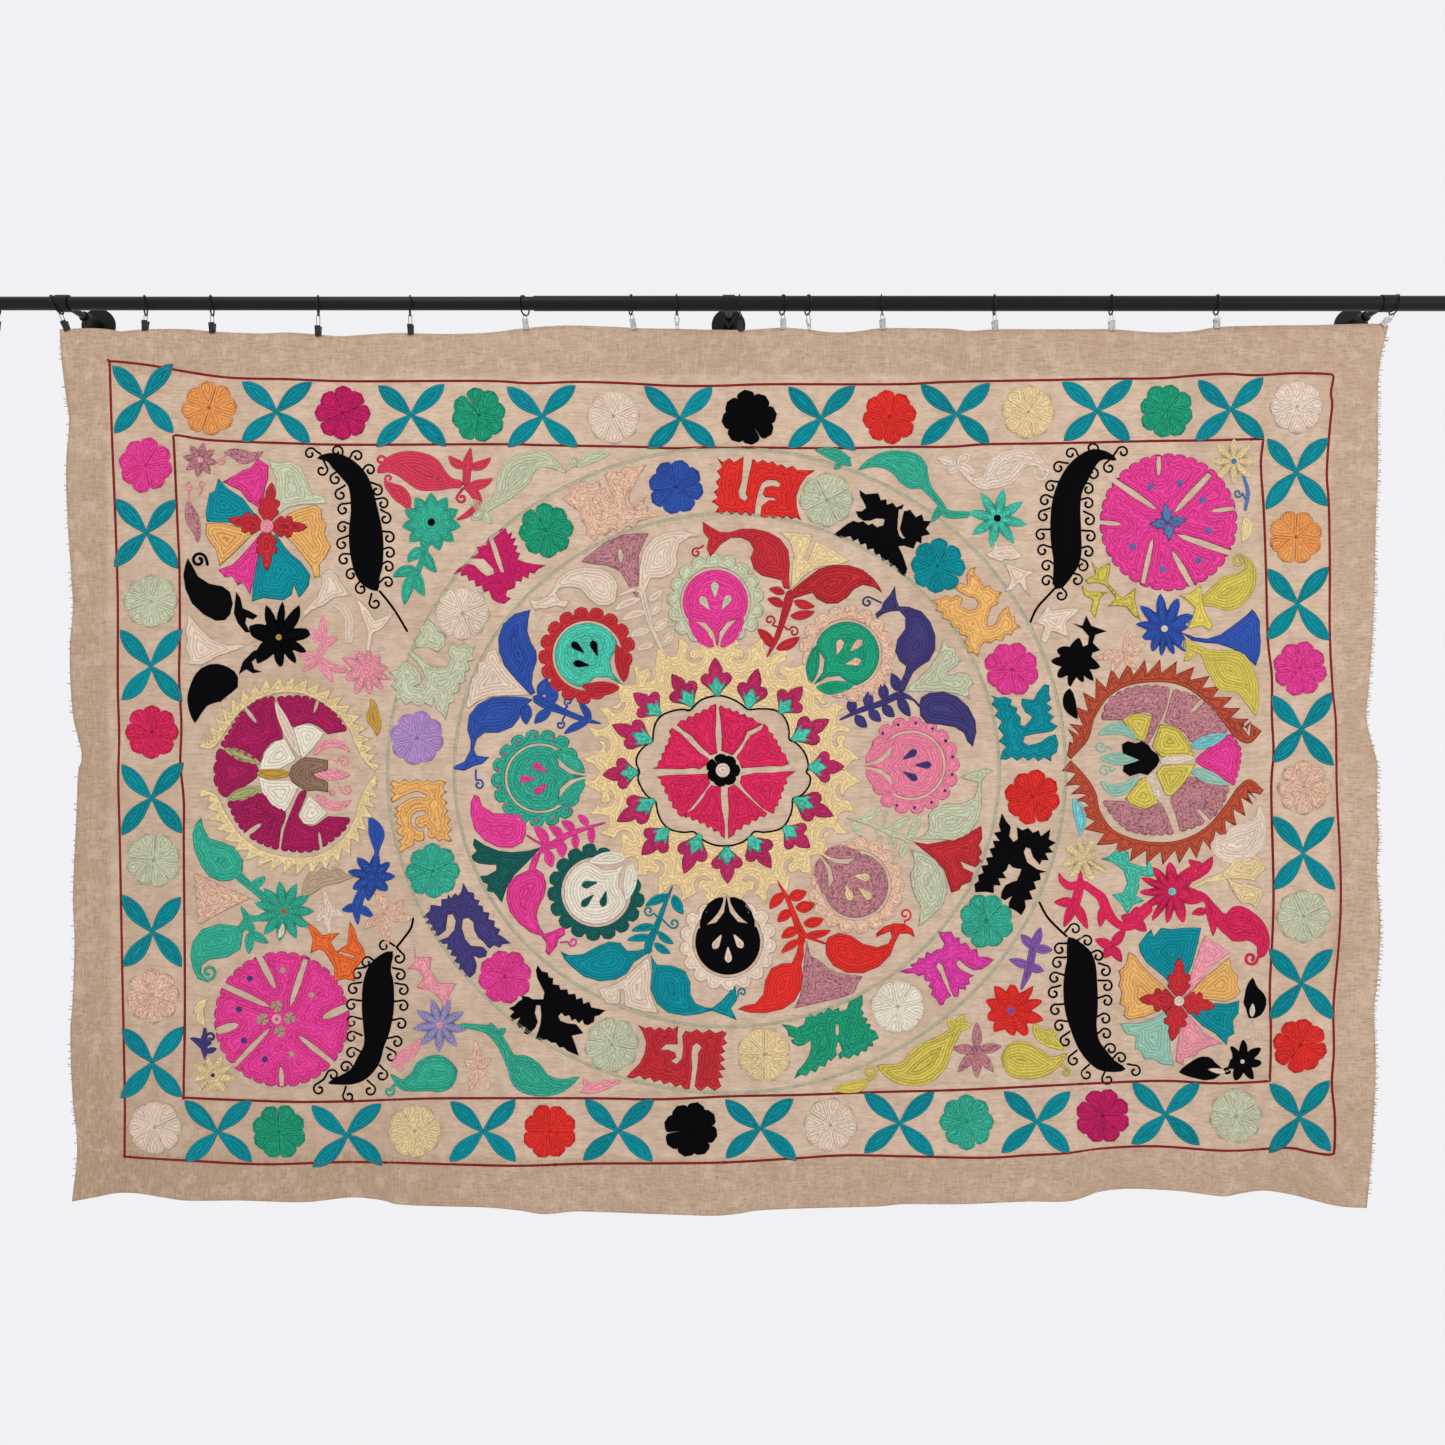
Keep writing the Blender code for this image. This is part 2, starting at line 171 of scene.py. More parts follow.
def cloth_depth_mm(x, below):
    """How far the cloth lies towards the wall, where it is seen at X and so far below the rod."""
    share = (below - top_edge(x)) / (hem_edge(x) - top_edge(x))
    depth = hem_depth(x) * np.clip((share - FOLD_START) / (1 - FOLD_START), 0.0, 1.1) ** FOLD_POWER
    for centre, half_width, trough, start in TROUGHS_MM:
        across = np.clip(1 - ((x - centre) / half_width) ** 2, 0.0, 1.0) ** 2
        depth = depth + trough * across * smooth_step((share - start) / 0.25) * (1 - share**4)
    for centre, half_width, crease, start, end in CREASES_MM:
        across = np.clip(1 - np.abs(x - centre) / half_width, 0.0, 1.0) ** 1.5
        fade = smooth_step((share - start) / 0.1) * smooth_step((end - share) / 0.1)
        depth = depth + crease * across * fade
    for height, wave_x, wave_down, phase in CRUMPLES:
        depth = depth + height * np.sin(2 * math.pi * (x / wave_x + below / wave_down) + phase)
    return depth


def drape(chart):
    """Lays chart points (column, row, height in mm) on the hanging cloth; gives places in metres."""
    x = (chart[:, 0] - ROD_COLUMN) * SQUARE_MM
    below = (chart[:, 1] - ROD_ROW) * SQUARE_MM
    depth = (cloth_depth_mm(x, below) - chart[:, 2]) * MM
    grow = 1 + depth / CAMERA_DISTANCE
    across = CAMERA_X + (x * MM - CAMERA_X) * grow
    up = CAMERA_Z + (-below * MM - CAMERA_Z) * grow
    return np.stack((across, ROD_AXIS_Y + depth, up), axis=1)


# Finishes


class Value:
    """A shader socket that Python's operators work on; each operator adds one Math node."""

    def __init__(self, finish, socket):
        self.finish = finish
        self.socket = socket

    def maths(self, operation, *values):
        return self.finish.add("ShaderNodeMath", {"operation": operation}, dict(enumerate(values)))

    def __add__(self, other):
        return self.maths("ADD", self, other)

    def __radd__(self, other):
        return self.maths("ADD", other, self)

    def __sub__(self, other):
        return self.maths("SUBTRACT", self, other)

    def __rsub__(self, other):
        return self.maths("SUBTRACT", other, self)

    def __mul__(self, other):
        return self.maths("MULTIPLY", self, other)

    def __rmul__(self, other):
        return self.maths("MULTIPLY", other, self)

    def __truediv__(self, other):
        return self.maths("DIVIDE", self, other)

    def __gt__(self, other):
        return self.maths("GREATER_THAN", self, other)

    def sine(self):
        return self.maths("SINE", self)

    def fraction(self):
        return self.maths("FRACT", self)

    def floor(self):
        return self.maths("FLOOR", self)

    def size(self):
        return self.maths("ABSOLUTE", self)

    def between(self, low, high):
        """0 below low, 1 above high and smooth between them."""
        return self.finish.add("ShaderNodeMapRange", {"interpolation_type": "SMOOTHSTEP", "clamp": True},
                               {0: self, 1: low, 2: high, 3: 0.0, 4: 1.0})


def linear(colour):
    """A colour of the scene's own linear kind, from the 0 to 255 kind that a dyer's card gives."""
    shades = [value / 255 for value in colour]
    return tuple(v / 12.92 if v <= 0.04045 else ((v + 0.055) / 1.055) ** 2.4 for v in shades) + (1.0,)


def shaded(colour, factor):
    return tuple(min(255, value * factor) for value in colour)


class Finish:
    """One procedural material, built around a Principled shader."""

    def __init__(self, name, **fixed):
        self.material = bpy.data.materials.new(name)
        self.material.use_nodes = True
        self.tree = self.material.node_tree
        self.shader = self.tree.nodes["Principled BSDF"]
        for socket, value in fixed.items():
            self.shader.inputs[socket.replace("_", " ")].default_value = value

    def add(self, kind, settings=None, values=None, output=0):
        """A node with its settings made first, then its sockets filled with numbers or links."""
        node = self.tree.nodes.new(kind)
        for name, value in (settings or {}).items():
            setattr(node, name, value)
        for socket, value in (values or {}).items():
            if isinstance(value, Value):
                self.tree.links.new(value.socket, node.inputs[socket])
            else:
                node.inputs[socket].default_value = value
        return Value(self, node.outputs[output])

    def place(self):
        return self.add("ShaderNodeTexCoord", output="Object")

    def stretched(self, place, scale):
        return self.add("ShaderNodeMapping", None, {"Vector": place, "Scale": scale})

    def noise(self, place, scale, detail=2.0, roughness=0.55):
        return self.add("ShaderNodeTexNoise", None,
                        {"Vector": place, "Scale": scale, "Detail": detail, "Roughness": roughness})

    def cells(self, place, scale, output="Distance"):
        return self.add("ShaderNodeTexVoronoi", None, {"Vector": place, "Scale": scale}, output)

    def parts(self, vector):
        split = self.add("ShaderNodeSeparateXYZ", None, {0: vector})
        outputs = split.socket.node.outputs
        return [Value(self, outputs[i]) for i in range(3)]

    def blend(self, factor, first, second, how="MIX"):
        """One colour over another; each is a link or a colour from 0 to 255."""
        ends = [c if isinstance(c, Value) else linear(c) for c in (first, second)]
        return self.add("ShaderNodeMix", {"data_type": "RGBA", "blend_type": how},
                        {0: factor, 6: ends[0], 7: ends[1]}, output=2)

    def feed(self, socket, value):
        self.tree.links.new(value.socket, self.shader.inputs[socket])

    def relief(self, height, distance, strength=1.0):
        values = {"Strength": strength, "Distance": distance, "Height": height}
        self.feed("Normal", self.add("ShaderNodeBump", None, values))


THREADS = {
    "teal": (0, 134, 146), "jade": (52, 168, 140), "green": (28, 150, 112), "rose": (205, 58, 82),
    "brick": (186, 42, 50), "mauve": (196, 134, 138), "blue": (44, 78, 160), "crimson": (218, 38, 86),
    "plum": (178, 40, 92), "turquoise": (72, 192, 165), "straw": (244, 209, 154), "black": (7, 6, 9),
    "red": (224, 44, 38), "magenta": (186, 26, 92), "pink": (238, 60, 142), "apricot": (238, 196, 168),
    "peach": (240, 168, 98), "tangerine": (242, 148, 82), "navy": (62, 56, 112), "mint": (200, 204, 172),
    "cream": (230, 208, 186),
    "lime": (206, 188, 84), "bottle": (16, 86, 80), "lilac": (180, 144, 202), "violet": (158, 150, 196),
    "purple": (130, 88, 164), "blush": (248, 156, 168), "rust": (182, 76, 52), "steel": (76, 114, 164),
    "ochre": (186, 146, 62), "olive": (166, 170, 112), "wine": (162, 26, 84), "orange": (246, 104, 46),
    "maroon": (132, 24, 26), "brown": (136, 106, 86), "sky": (116, 196, 200), "sand": (182, 160, 130),
    "shell": (234, 212, 192), "sage": (150, 196, 176), "ivory": (240, 226, 206), "corn": (236, 208, 156),
    "candy": (244, 132, 158), "orchid": (226, 60, 160), "fray": (204, 178, 150),
}
# Threads whose rows wander in small loops, and how far
WANDERING = {
    "crimson": 2.6, "plum": 2.2, "magenta": 2.2, "mauve": 2.4, "apricot": 3.0, "blush": 2.6, "green": 2.2,
    "jade": 1.8, "turquoise": 2.2, "wine": 2.4, "pink": 2.0, "orchid": 2.6, "straw": 2.6, "mint": 1.8,
    "corn": 2.2, "candy": 2.2, "shell": 1.8,
}
SPECKLED = {"mauve": (120, 76, 100), "apricot": (206, 150, 124)}


def thread_finish(name):
    """Chain stitch in one dyed thread: rows with painted shade in the grooves between them, along swirl
    lines and at the edge, short loops with a painted highlight on the ridges, and uneven dye.
    """
    colour = THREADS[name]
    pale = min(colour) > 120
    dark = max(colour) < 40
    finish = Finish("thread_" + name, Roughness=0.75, Specular_IOR_Level=0.04 if dark else 0.14)
    place = finish.place()
    rows = finish.add("ShaderNodeAttribute", {"attribute_name": "rows"}, output="Vector")
    row, along, patch = finish.parts(rows)
    reach = WANDERING.get(name, 0.9)
    drift = finish.noise(place, 95.0 if reach > 1 else 60.0, 2.0)
    wander = row + (drift - 0.5) * reach
    ridge = (wander * math.pi).sine().size()
    row_tone = finish.add("ShaderNodeTexWhiteNoise", {"noise_dimensions": "1D"},
                          {"W": wander.floor() + (patch * 40.0).floor() * 7.0})
    swirl = finish.noise(place, 85.0, 1.0)
    turned = ((swirl * 6.0).fraction() - 0.5).size()
    loops = finish.cells(finish.stretched(place, (1.0, 0.4, 1.0)), 300.0)
    grain = finish.noise(place, 420.0, 2.0, 0.7)
    dye = finish.noise(place, 14.0, 3.0)
    groove_shade = 1 - ridge.between(0.05, 0.55)
    rim = 1 - row.between(0.0, 0.42)
    # deep is painted shade for the grooves, swirl lines and edge, and also a darker tone for the grain
    deep = shaded(colour, 0.74 if pale else 0.52)
    # light is a lighter tone for random row and piece tones, and also a painted highlight on the ridges
    light = shaded(colour, 1.10 if pale else 1.22)
    # painted shade in the grooves between rows and along the swirl lines
    tint = finish.blend(groove_shade * 0.80, colour, deep)
    tint = finish.blend((1 - turned.between(0.02, 0.13)) * 0.55, tint, deep)
    tint = finish.blend(row_tone * 0.55, tint, light)
    # painted highlight on the ridges of the rows, at the loops
    tint = finish.blend((1 - loops.between(0.15, 0.75)) * ridge * 0.5, tint, light)
    tint = finish.blend(grain.between(0.50, 0.72) * 0.42, tint, deep)
    tint = finish.blend(dye.between(0.35, 0.75) * 0.25, tint, shaded(colour, 0.86))
    # painted shade: a darker line along the edge of each piece, where the raised stitches meet the linen
    tint = finish.blend(rim * 0.60, tint, deep)
    tint = finish.blend(patch * 0.18, tint, light)
    if name in SPECKLED:
        fleck = finish.noise(place, 210.0, 3.0, 0.7)
        tint = finish.blend(fleck.between(0.50, 0.62) * 0.80, tint, SPECKLED[name])
    finish.feed("Base Color", tint)
    finish.feed("Roughness", 0.62 + grain * 0.25)
    finish.relief(ridge * 0.9 + turned * 0.6 + loops * 0.4 + grain * 0.3, 0.0018, 1.0)
    return finish.material


def linen_finish():
    """Old hand-woven linen: plain weave with slubs, faint stains and a darker margin outside the border,
    with painted shade in soft vertical bands along its folds, towards the left and bottom left and between
    the threads, and painted light towards the right.
    """
    finish = Finish("linen_cloth", Roughness=0.92, Specular_IOR_Level=0.08)
    place = finish.place()
    east, north, up = finish.parts(place)
    from_side = 1.159 - (east + 0.017).size()
    from_top = -0.141 - up
    from_hem = up + 1.618
    middle = from_side.between(-0.012, 0.004) * from_top.between(-0.012, 0.004)
    margin = 1 - middle * from_hem.between(-0.012, 0.004)
    # painted shade: soft vertical bands where the folds turn away from the light
    painted_fold_shade = finish.noise(finish.stretched(place, (1.0, 1.0, 0.25)), 3.2, 2.0)
    # painted shade: darker towards the left side, most of all at the bottom left
    left = 1 - (east + 1.26).between(0.0, 0.9)
    low = 1 - (up + 1.72).between(0.0, 0.55)
    colour = finish.blend(margin, (232, 206, 181), (205, 178, 152))
    colour = finish.blend(left * (0.35 + 0.65 * low) * 0.8, colour, (184, 154, 126))
    # painted light: lighter towards the right side
    colour = finish.blend((east - 0.2).between(0.0, 1.0) * 0.35, colour, (228, 198, 172))
    colour = finish.blend(painted_fold_shade.between(0.45, 0.7) * 0.22, colour, (178, 150, 124))
    slub_across = finish.noise(finish.stretched(place, (0.16, 1.0, 1.0)), 330.0, 2.0, 0.6)
    slub_down = finish.noise(finish.stretched(place, (1.0, 1.0, 0.16)), 330.0, 2.0, 0.6)
    coarse_across = finish.noise(finish.stretched(place, (0.10, 1.0, 1.0)), 95.0, 2.0)
    coarse_down = finish.noise(finish.stretched(place, (1.0, 1.0, 0.10)), 95.0, 2.0)
    warp = (east * (math.pi / 0.0011)).sine().size()
    weft = (up * (math.pi / 0.0011)).sine().size()
    over = (((east / 0.0011).floor() + (up / 0.0011).floor()) * 0.5).fraction() > 0.25
    weave = over * warp + (1 - over) * weft
    cloud = finish.noise(place, 5.5, 4.0, 0.6)
    mottle = finish.noise(place, 38.0, 4.0, 0.65)
    stain = finish.noise(place, 2.1, 3.0)
    tint = finish.blend(slub_across.between(0.40, 0.72) * (0.35 + margin * 0.25), colour, (160, 130, 104))
    tint = finish.blend(slub_down.between(0.42, 0.72) * (0.30 + margin * 0.15), tint, (228, 206, 182))
    tint = finish.blend(coarse_across.between(0.50, 0.75) * 0.34, tint, (180, 150, 124))
    tint = finish.blend(coarse_down.between(0.52, 0.75) * 0.28, tint, (218, 194, 168))
    tint = finish.blend(cloud.between(0.42, 0.72) * 0.24, tint, (186, 156, 130))
    tint = finish.blend(stain.between(0.50, 0.74) * 0.20, tint, (180, 148, 120))
    tint = finish.blend(mottle.between(0.42, 0.66) * 0.30, tint, (194, 164, 138))
    tint = finish.blend((1 - mottle.between(0.34, 0.50)) * 0.30, tint, (238, 214, 190))
    # painted shade in the gaps between the woven threads
    tint = finish.blend((1 - weave.between(0.2, 0.8)) * 0.20, tint, (140, 112, 88))
    finish.feed("Base Color", tint)
    finish.feed("Roughness", 0.86 + slub_across * 0.12)
    finish.relief(weave * 0.5 + slub_across * 0.7 + slub_down * 0.7, 0.0007, 0.7)
    return finish.material


def paint_finish(name, colour, roughness):
    """Black paint on steel, with a faint orange peel, dust and rubbed spots."""
    finish = Finish(name, Metallic=0.0, Specular_IOR_Level=0.22)
    place = finish.place()
    peel = finish.noise(place, 900.0, 2.0)
    dust = finish.noise(place, 35.0, 4.0, 0.6)
    rubbed = finish.noise(finish.stretched(place, (0.25, 1.0, 1.0)), 120.0, 3.0)
    tint = finish.blend(dust.between(0.45, 0.8) * 0.5, colour, shaded(colour, 1.9))
    tint = finish.blend(rubbed.between(0.66, 0.8) * 0.25, tint, (48, 46, 44))
    finish.feed("Base Color", tint)
    finish.feed("Roughness", roughness + dust * 0.22)
    finish.relief(peel, 0.0001, 0.25)
    return finish.material


def steel_finish(name, colour, metallic):
    """Drawn and pressed steel: bright, with fine draw lines and dull patches."""
    finish = Finish(name)
    place = finish.place()
    lines = finish.noise(finish.stretched(place, (1.0, 1.0, 0.08)), 2400.0, 2.0)
    patches = finish.noise(place, 160.0, 3.0)
    tint = finish.blend(patches.between(0.4, 0.7) * 0.6, colour, shaded(colour, 0.62))
    finish.feed("Base Color", tint)
    finish.feed("Roughness", 0.24 + patches * 0.28)
    finish.feed("Metallic", metallic - patches * 0.1)
    finish.relief(lines, 0.00008, 0.4)
    return finish.material


def dress(thing, material):
    thing.data.materials.clear()
    thing.data.materials.append(material)


# Sewing on the chart

rng = random.Random(7)
spools = {}


def spool(thread):
    if thread not in spools:
        spools[thread] = bmesh.new()
        spools[thread].verts.layers.float_vector.new("rows")
    return spools[thread]


def sew(thread, piece, places, rows, weld=True):
    """Puts a piece's vertices at their chart places with their row values, on the thread's spool."""
    layer = piece.verts.layers.float_vector.new("rows")
    tone = rng.random()
    for vert, place, (row, along) in zip(piece.verts, places, rows):
        vert.co = place
        vert[layer] = (row, along, tone)
    if weld:
        bmesh.ops.remove_doubles(piece, verts=piece.verts, dist=0.03)
    mesh = bpy.data.meshes.new("piece")
    piece.to_mesh(mesh)
    piece.free()
    spool(thread).from_mesh(mesh)
    bpy.data.meshes.remove(mesh)


def smooth_line(points, step, closed=False):
    """Evenly spaced points of a smooth curve through a table's rows."""
    rows = np.array(points, float)
    if closed:
        rows = np.vstack((rows[-1], rows, rows[0], rows[1]))
    else:
        rows = np.vstack((2 * rows[0] - rows[1], rows, 2 * rows[-1] - rows[-2]))
    curve = []
    for a, b, c, d in zip(rows, rows[1:], rows[2:], rows[3:]):
        for t in np.arange(0, 1, 0.1):
            curve.append(0.5 * (2 * b + (c - a) * t + (2 * a - 5 * b + 4 * c - d) * t**2
                                + (3 * b - a - 3 * c + d) * t**3))
    curve.append(rows[-2])
    curve = np.array(curve)
    lengths = np.hypot(*np.diff(curve[:, :2], axis=0).T)
    travel = np.concatenate(([0], np.cumsum(lengths)))
    count = max(3, int(math.ceil(travel[-1] / step)) + 1)
    at = np.linspace(0, travel[-1], count)
    return np.stack([np.interp(at, travel, column) for column in curve.T], axis=1)


def directions(line, closed=False):
    """The direction of a line of points at each of them."""
    if closed:
        run = np.roll(line[:, :2], -1, axis=0) - np.roll(line[:, :2], 1, axis=0)
    else:
        run = np.gradient(line[:, :2], axis=0)
    return run / np.maximum(np.hypot(run[:, 0], run[:, 1]), 1e-6)[:, None]


def ribbon(thread, points, step=None, closed=False, lift=0.0):
    """Chain-stitch rows laid side by side along a line of (column, row, half width)."""
    table = np.array(points, float)
    widest = table[:, 2].max()
    step = step or min(max(widest * 0.7, 1.1), 4.0)
    line = smooth_line(points, step, closed)
    half = np.maximum(line[:, 2], 0.05) + 0.25
    if not closed:
        travel = np.concatenate(([0], np.cumsum(np.hypot(*np.diff(line[:, :2], axis=0).T))))
        for reach, end in ((travel, half[0]), (travel[-1] - travel, half[-1])):
            end = max(end, 0.3)
            share = np.clip(reach / end, 0, 1)
            half = half * np.sqrt(1 - (1 - share) ** 2)
    count = max(1, round(2 * widest * SQUARE_MM / MESH_ROW_MM))
    columns = 2 * count
    run = directions(line)
    if closed:
        run[0] = run[-1] = directions(line[:-1], True)[0]
    normal = np.stack((-run[:, 1], run[:, 0]), axis=1)
    patch = bmesh.new()
    bmesh.ops.create_grid(patch, x_segments=len(line) - 1, y_segments=columns, size=1.0)
    places, rows = [], []
    for vert in patch.verts:
        i = round((vert.co.x + 1) / 2 * (len(line) - 1))
        j = round((vert.co.y + 1) / 2 * columns)
        side = vert.co.y * half[i]
        inner = half[i] * (1 - abs(vert.co.y))
        slope = min(1.0, half[i] * 2 / columns / 1.1)
        height = SUNK_MM if j in (0, columns) else mix(1.5, RIDGE_MM if j % 2 else GROOVE_MM, slope)
        height = SUNK_MM + (height - SUNK_MM) * min(1.0, 0.5 + half[i] / 2.0) + lift
        places.append((line[i, 0] + normal[i, 0] * side, line[i, 1] + normal[i, 1] * side, height))
        rows.append((inner * SQUARE_MM / ROW_MM, i * step * SQUARE_MM * MM))
    sew(thread, patch, places, rows)


def polar(thread, x, y, edge, segments, turn=0.0, lift=0.0):
    """Chain-stitch rings inside an edge given as a radius for each angle."""
    angles = np.arange(segments) * 2 * math.pi / segments
    radius = edge(angles)
    count = max(1, round(radius.mean() * SQUARE_MM / MESH_ROW_MM))
    rings = 2 * count
    patch = bmesh.new()
    verts = [patch.verts.new((k / rings, 0, 0)) for k in range(rings + 1)]
    spokes = [patch.edges.new(pair) for pair in zip(verts, verts[1:])]
    bmesh.ops.spin(patch, geom=verts + spokes, cent=(0, 0, 0), axis=(0, 0, 1), dvec=(0, 0, 0),
                   angle=2 * math.pi, steps=segments, use_merge=True)
    bmesh.ops.remove_doubles(patch, verts=patch.verts, dist=1e-4)
    bmesh.ops.recalc_face_normals(patch, faces=patch.faces)
    if sum(face.normal.z for face in patch.faces) < 0:
        bmesh.ops.reverse_faces(patch, faces=patch.faces)
    places, rows = [], []
    mean = radius.mean()
    for vert in patch.verts:
        share = math.hypot(vert.co.x, vert.co.y)
        angle = math.atan2(vert.co.y, vert.co.x) % (2 * math.pi)
        k = round(angle / (2 * math.pi) * segments) % segments
        ring = round((1 - share) * rings)
        reach = share * mix(mean * 0.9, radius[k], share**0.6)
        height = SUNK_MM if ring == 0 else (RIDGE_MM if ring % 2 else GROOVE_MM)
        facing = angle + turn
        places.append((x + reach * math.cos(facing), y + reach * math.sin(facing), height + lift))
        rows.append(((1 - share) * mean * SQUARE_MM / ROW_MM, angle * mean * SQUARE_MM * MM))
    sew(thread, patch, places, rows)


def inside(spots, outline):
    """Which of the spots lie inside a closed outline."""
    ahead = np.roll(outline, -1, axis=0)
    x, y = spots[:, None, 0], spots[:, None, 1]
    spans = (outline[None, :, 1] > y) != (ahead[None, :, 1] > y)
    rise = np.where(ahead[:, 1] == outline[:, 1], 1e-9, ahead[:, 1] - outline[:, 1])
    crossing = outline[:, 0] + (y - outline[:, 1]) * (ahead[:, 0] - outline[:, 0]) / rise
    return (spans & (x < crossing)).sum(axis=1) % 2 == 1


def cut_slit(piece, opening):
    """Opens a slit in a flat piece: its faces are split along the slit's outline, those inside go."""
    for start, end in zip(opening, np.roll(opening, -1, axis=0)):
        low, high = np.minimum(start, end) - 0.3, np.maximum(start, end) + 0.3
        near = []
        for face in piece.faces:
            centre = face.calc_center_bounds()
            if low[0] - CELL < centre.x < high[0] + CELL and low[1] - CELL < centre.y < high[1] + CELL:
                near.append(face)
        if near:
            around = dict.fromkeys(part for face in near for part in (*face.verts, *face.edges))
            run = end - start
            bmesh.ops.bisect_plane(piece, geom=near + list(around), dist=1e-4, plane_co=(*start, 0),
                                   plane_no=(-run[1], run[0], 0))
    faces = list(piece.faces)
    centres = np.array([face.calc_center_median()[:2] for face in faces])
    gone = [face for face, within in zip(faces, inside(centres, opening)) if within]
    bmesh.ops.delete(piece, geom=gone, context="FACES")


def patch(thread, outline, lift=0.0, slits=()):
    """Rows that follow a closed outline inwards; the middle is raised and the edge turned under."""
    outline = np.array(outline, float)[:, :2]
    ahead = np.roll(outline, -1, axis=0)
    area = (outline[:, 0] * ahead[:, 1] - ahead[:, 0] * outline[:, 1]).sum()
    if area < 0:
        outline = outline[::-1]
    piece = bmesh.new()
    piece.faces.new([piece.verts.new((px, py, 0)) for px, py in outline])
    geometry = piece.verts[:] + piece.edges[:] + piece.faces[:]
    low, high = outline.min(axis=0), outline.max(axis=0)
    for axis in (0, 1):
        cuts = np.arange(math.floor(low[axis] / CELL) + 1, math.ceil(high[axis] / CELL)) * CELL
        for cut in cuts:
            centre, direction = [0, 0, 0], [0, 0, 0]
            centre[axis], direction[axis] = cut, 1
            result = bmesh.ops.bisect_plane(piece, geom=geometry, dist=1e-4, plane_co=centre,
                                            plane_no=direction)
            geometry = result["geom"]
    openings = [np.array(opening, float) for opening in slits]
    for opening in openings:
        cut_slit(piece, opening)
    rim = [edge for edge in piece.edges if edge.is_boundary]
    top = set(piece.verts)
    bmesh.ops.extrude_edge_only(piece, edges=rim)
    spots = np.array([vert.co[:2] for vert in piece.verts])
    starts = np.vstack([outline] + openings)
    side = np.vstack([np.roll(edge, -1, axis=0) - edge for edge in [outline] + openings])
    length = np.maximum((side**2).sum(axis=1), 1e-9)
    share = ((spots[:, None, :] - starts[None]) * side[None]).sum(axis=2) / length
    nearest = starts[None] + np.clip(share, 0, 1)[:, :, None] * side[None]
    distance = np.sqrt(((spots[:, None, :] - nearest) ** 2).sum(axis=2)).min(axis=1)
    row = distance * SQUARE_MM / ROW_MM
    places, rows = [], []
    for vert, spot, apart, at in zip(piece.verts, spots, distance, row):
        if vert not in top:
            height = SUNK_MM
        else:
            inside = min(1.0, apart / 1.2)
            height = mix(EDGE_MM, mix(GROOVE_MM, RIDGE_MM, math.sin(math.pi * at) ** 2), inside)
        places.append((spot[0], spot[1], height + lift))
        rows.append((at, (spot[0] + spot[1]) * SQUARE_MM * MM))
    sew(thread, piece, places, rows, weld=False)


# Edges and outlines


def lobed(radius, lobes, lobe):
    """The edge of a rosette: round lobes of one radius, side by side."""
    def edge(angles):
        apart = (angles * lobes / (2 * math.pi) + 0.5) % 1 - 0.5
        apart = apart * 2 * math.pi / lobes
        reach = radius - lobe
        under = np.maximum(lobe**2 - (reach * np.sin(apart)) ** 2, 0)
        return reach * np.cos(apart) + np.sqrt(under)
    return edge


def pointed(outer, inner, points, sharp=1.3):
    """The edge of a star with even points."""
    def edge(angles):
        apart = np.abs((angles * points / (2 * math.pi) + 0.5) % 1 - 0.5) * 2
        return inner + (outer - inner) * (1 - apart) ** sharp
    return edge


def toothed(start, end, teeth, depth):
    """Points from start towards end with lobes that stand out to the line's left."""
    start, end = np.array(start, float), np.array(end, float)
    run = end - start
    out = np.array((run[1], -run[0])) / max(np.hypot(*run), 1e-6)
    points = []
    for tooth in range(teeth):
        for share, rise in ((0.0, 0.0), (0.12, 0.7), (0.35, 1.0), (0.65, 1.0), (0.88, 0.7)):
            points.append(start + run * (tooth + share) / teeth + out * depth * rise)
    return points


LOBE = ((0.0, 0.0), (0.15, 0.75), (0.4, 1.0), (0.6, 1.0), (0.85, 0.75))
THORN = ((0.0, 0.0), (0.25, 0.35), (0.55, 1.0))


def along(line):
    """Reads a line's place and the direction to its left at a share of its length."""
    run = directions(line)
    out = np.stack((run[:, 1], -run[:, 0]), axis=1)
    travel = np.concatenate(([0], np.cumsum(np.hypot(*np.diff(line, axis=0).T))))

    def read(share):
        at = share * travel[-1]
        return [np.array([np.interp(at, travel, column) for column in table.T]) for table in (line, out)]
    return read


def wavy(points, teeth, depth, closed=False):
    """A smooth line with lobes that stand out to its left."""
    line = smooth_line([(x, y, 0) for x, y in points], 1.5, closed)[:, :2]
    read = along(line)
    edge = []
    for tooth in range(teeth):
        for share, rise in LOBE:
            foot, away = read((tooth + share) / teeth)
            edge.append(foot + away * depth * rise)
    if not closed:
        edge.append(line[-1])
    return edge


def slit(x0, y0, x1, y1, half):
    """The outline of a narrow opening, wide at its first end and pointed at its second."""
    run = np.array((x1 - x0, y1 - y0), float)
    aside = np.array((-run[1], run[0])) / np.hypot(*run) * half
    start = np.array((x0, y0), float)
    return [start + aside * 0.8, start + run * 0.5 + aside, start + run * 0.85 + aside * 0.7, start + run,
            start + run * 0.85 - aside * 0.7, start + run * 0.5 - aside, start - aside * 0.8]


def curve(*points, step=2.2):
    """Points of a smooth line through a few places."""
    return [tuple(p) for p in smooth_line([(x, y, 0) for x, y in points], step)[:, :2]]


def band(thread, points, width, teeth, depth, slant=0.0, shape=THORN, step=2.0):
    """A band beside a line, to its left, with thorns or lobes along the outer side."""
    line = smooth_line([(x, y, 0) for x, y in points], step)[:, :2]
    read = along(line)
    outer = []
    for tooth in range(teeth):
        for share, rise in shape:
            foot, away = read((tooth + share + slant * rise) / teeth)
            ends = min(1.0, 8.0 * (tooth + 1) / teeth + 0.2, 8.0 * (teeth - tooth) / teeth + 0.2)
            outer.append(foot + away * (width + depth * rise) * ends)
    patch(thread, list(line) + outer[::-1])


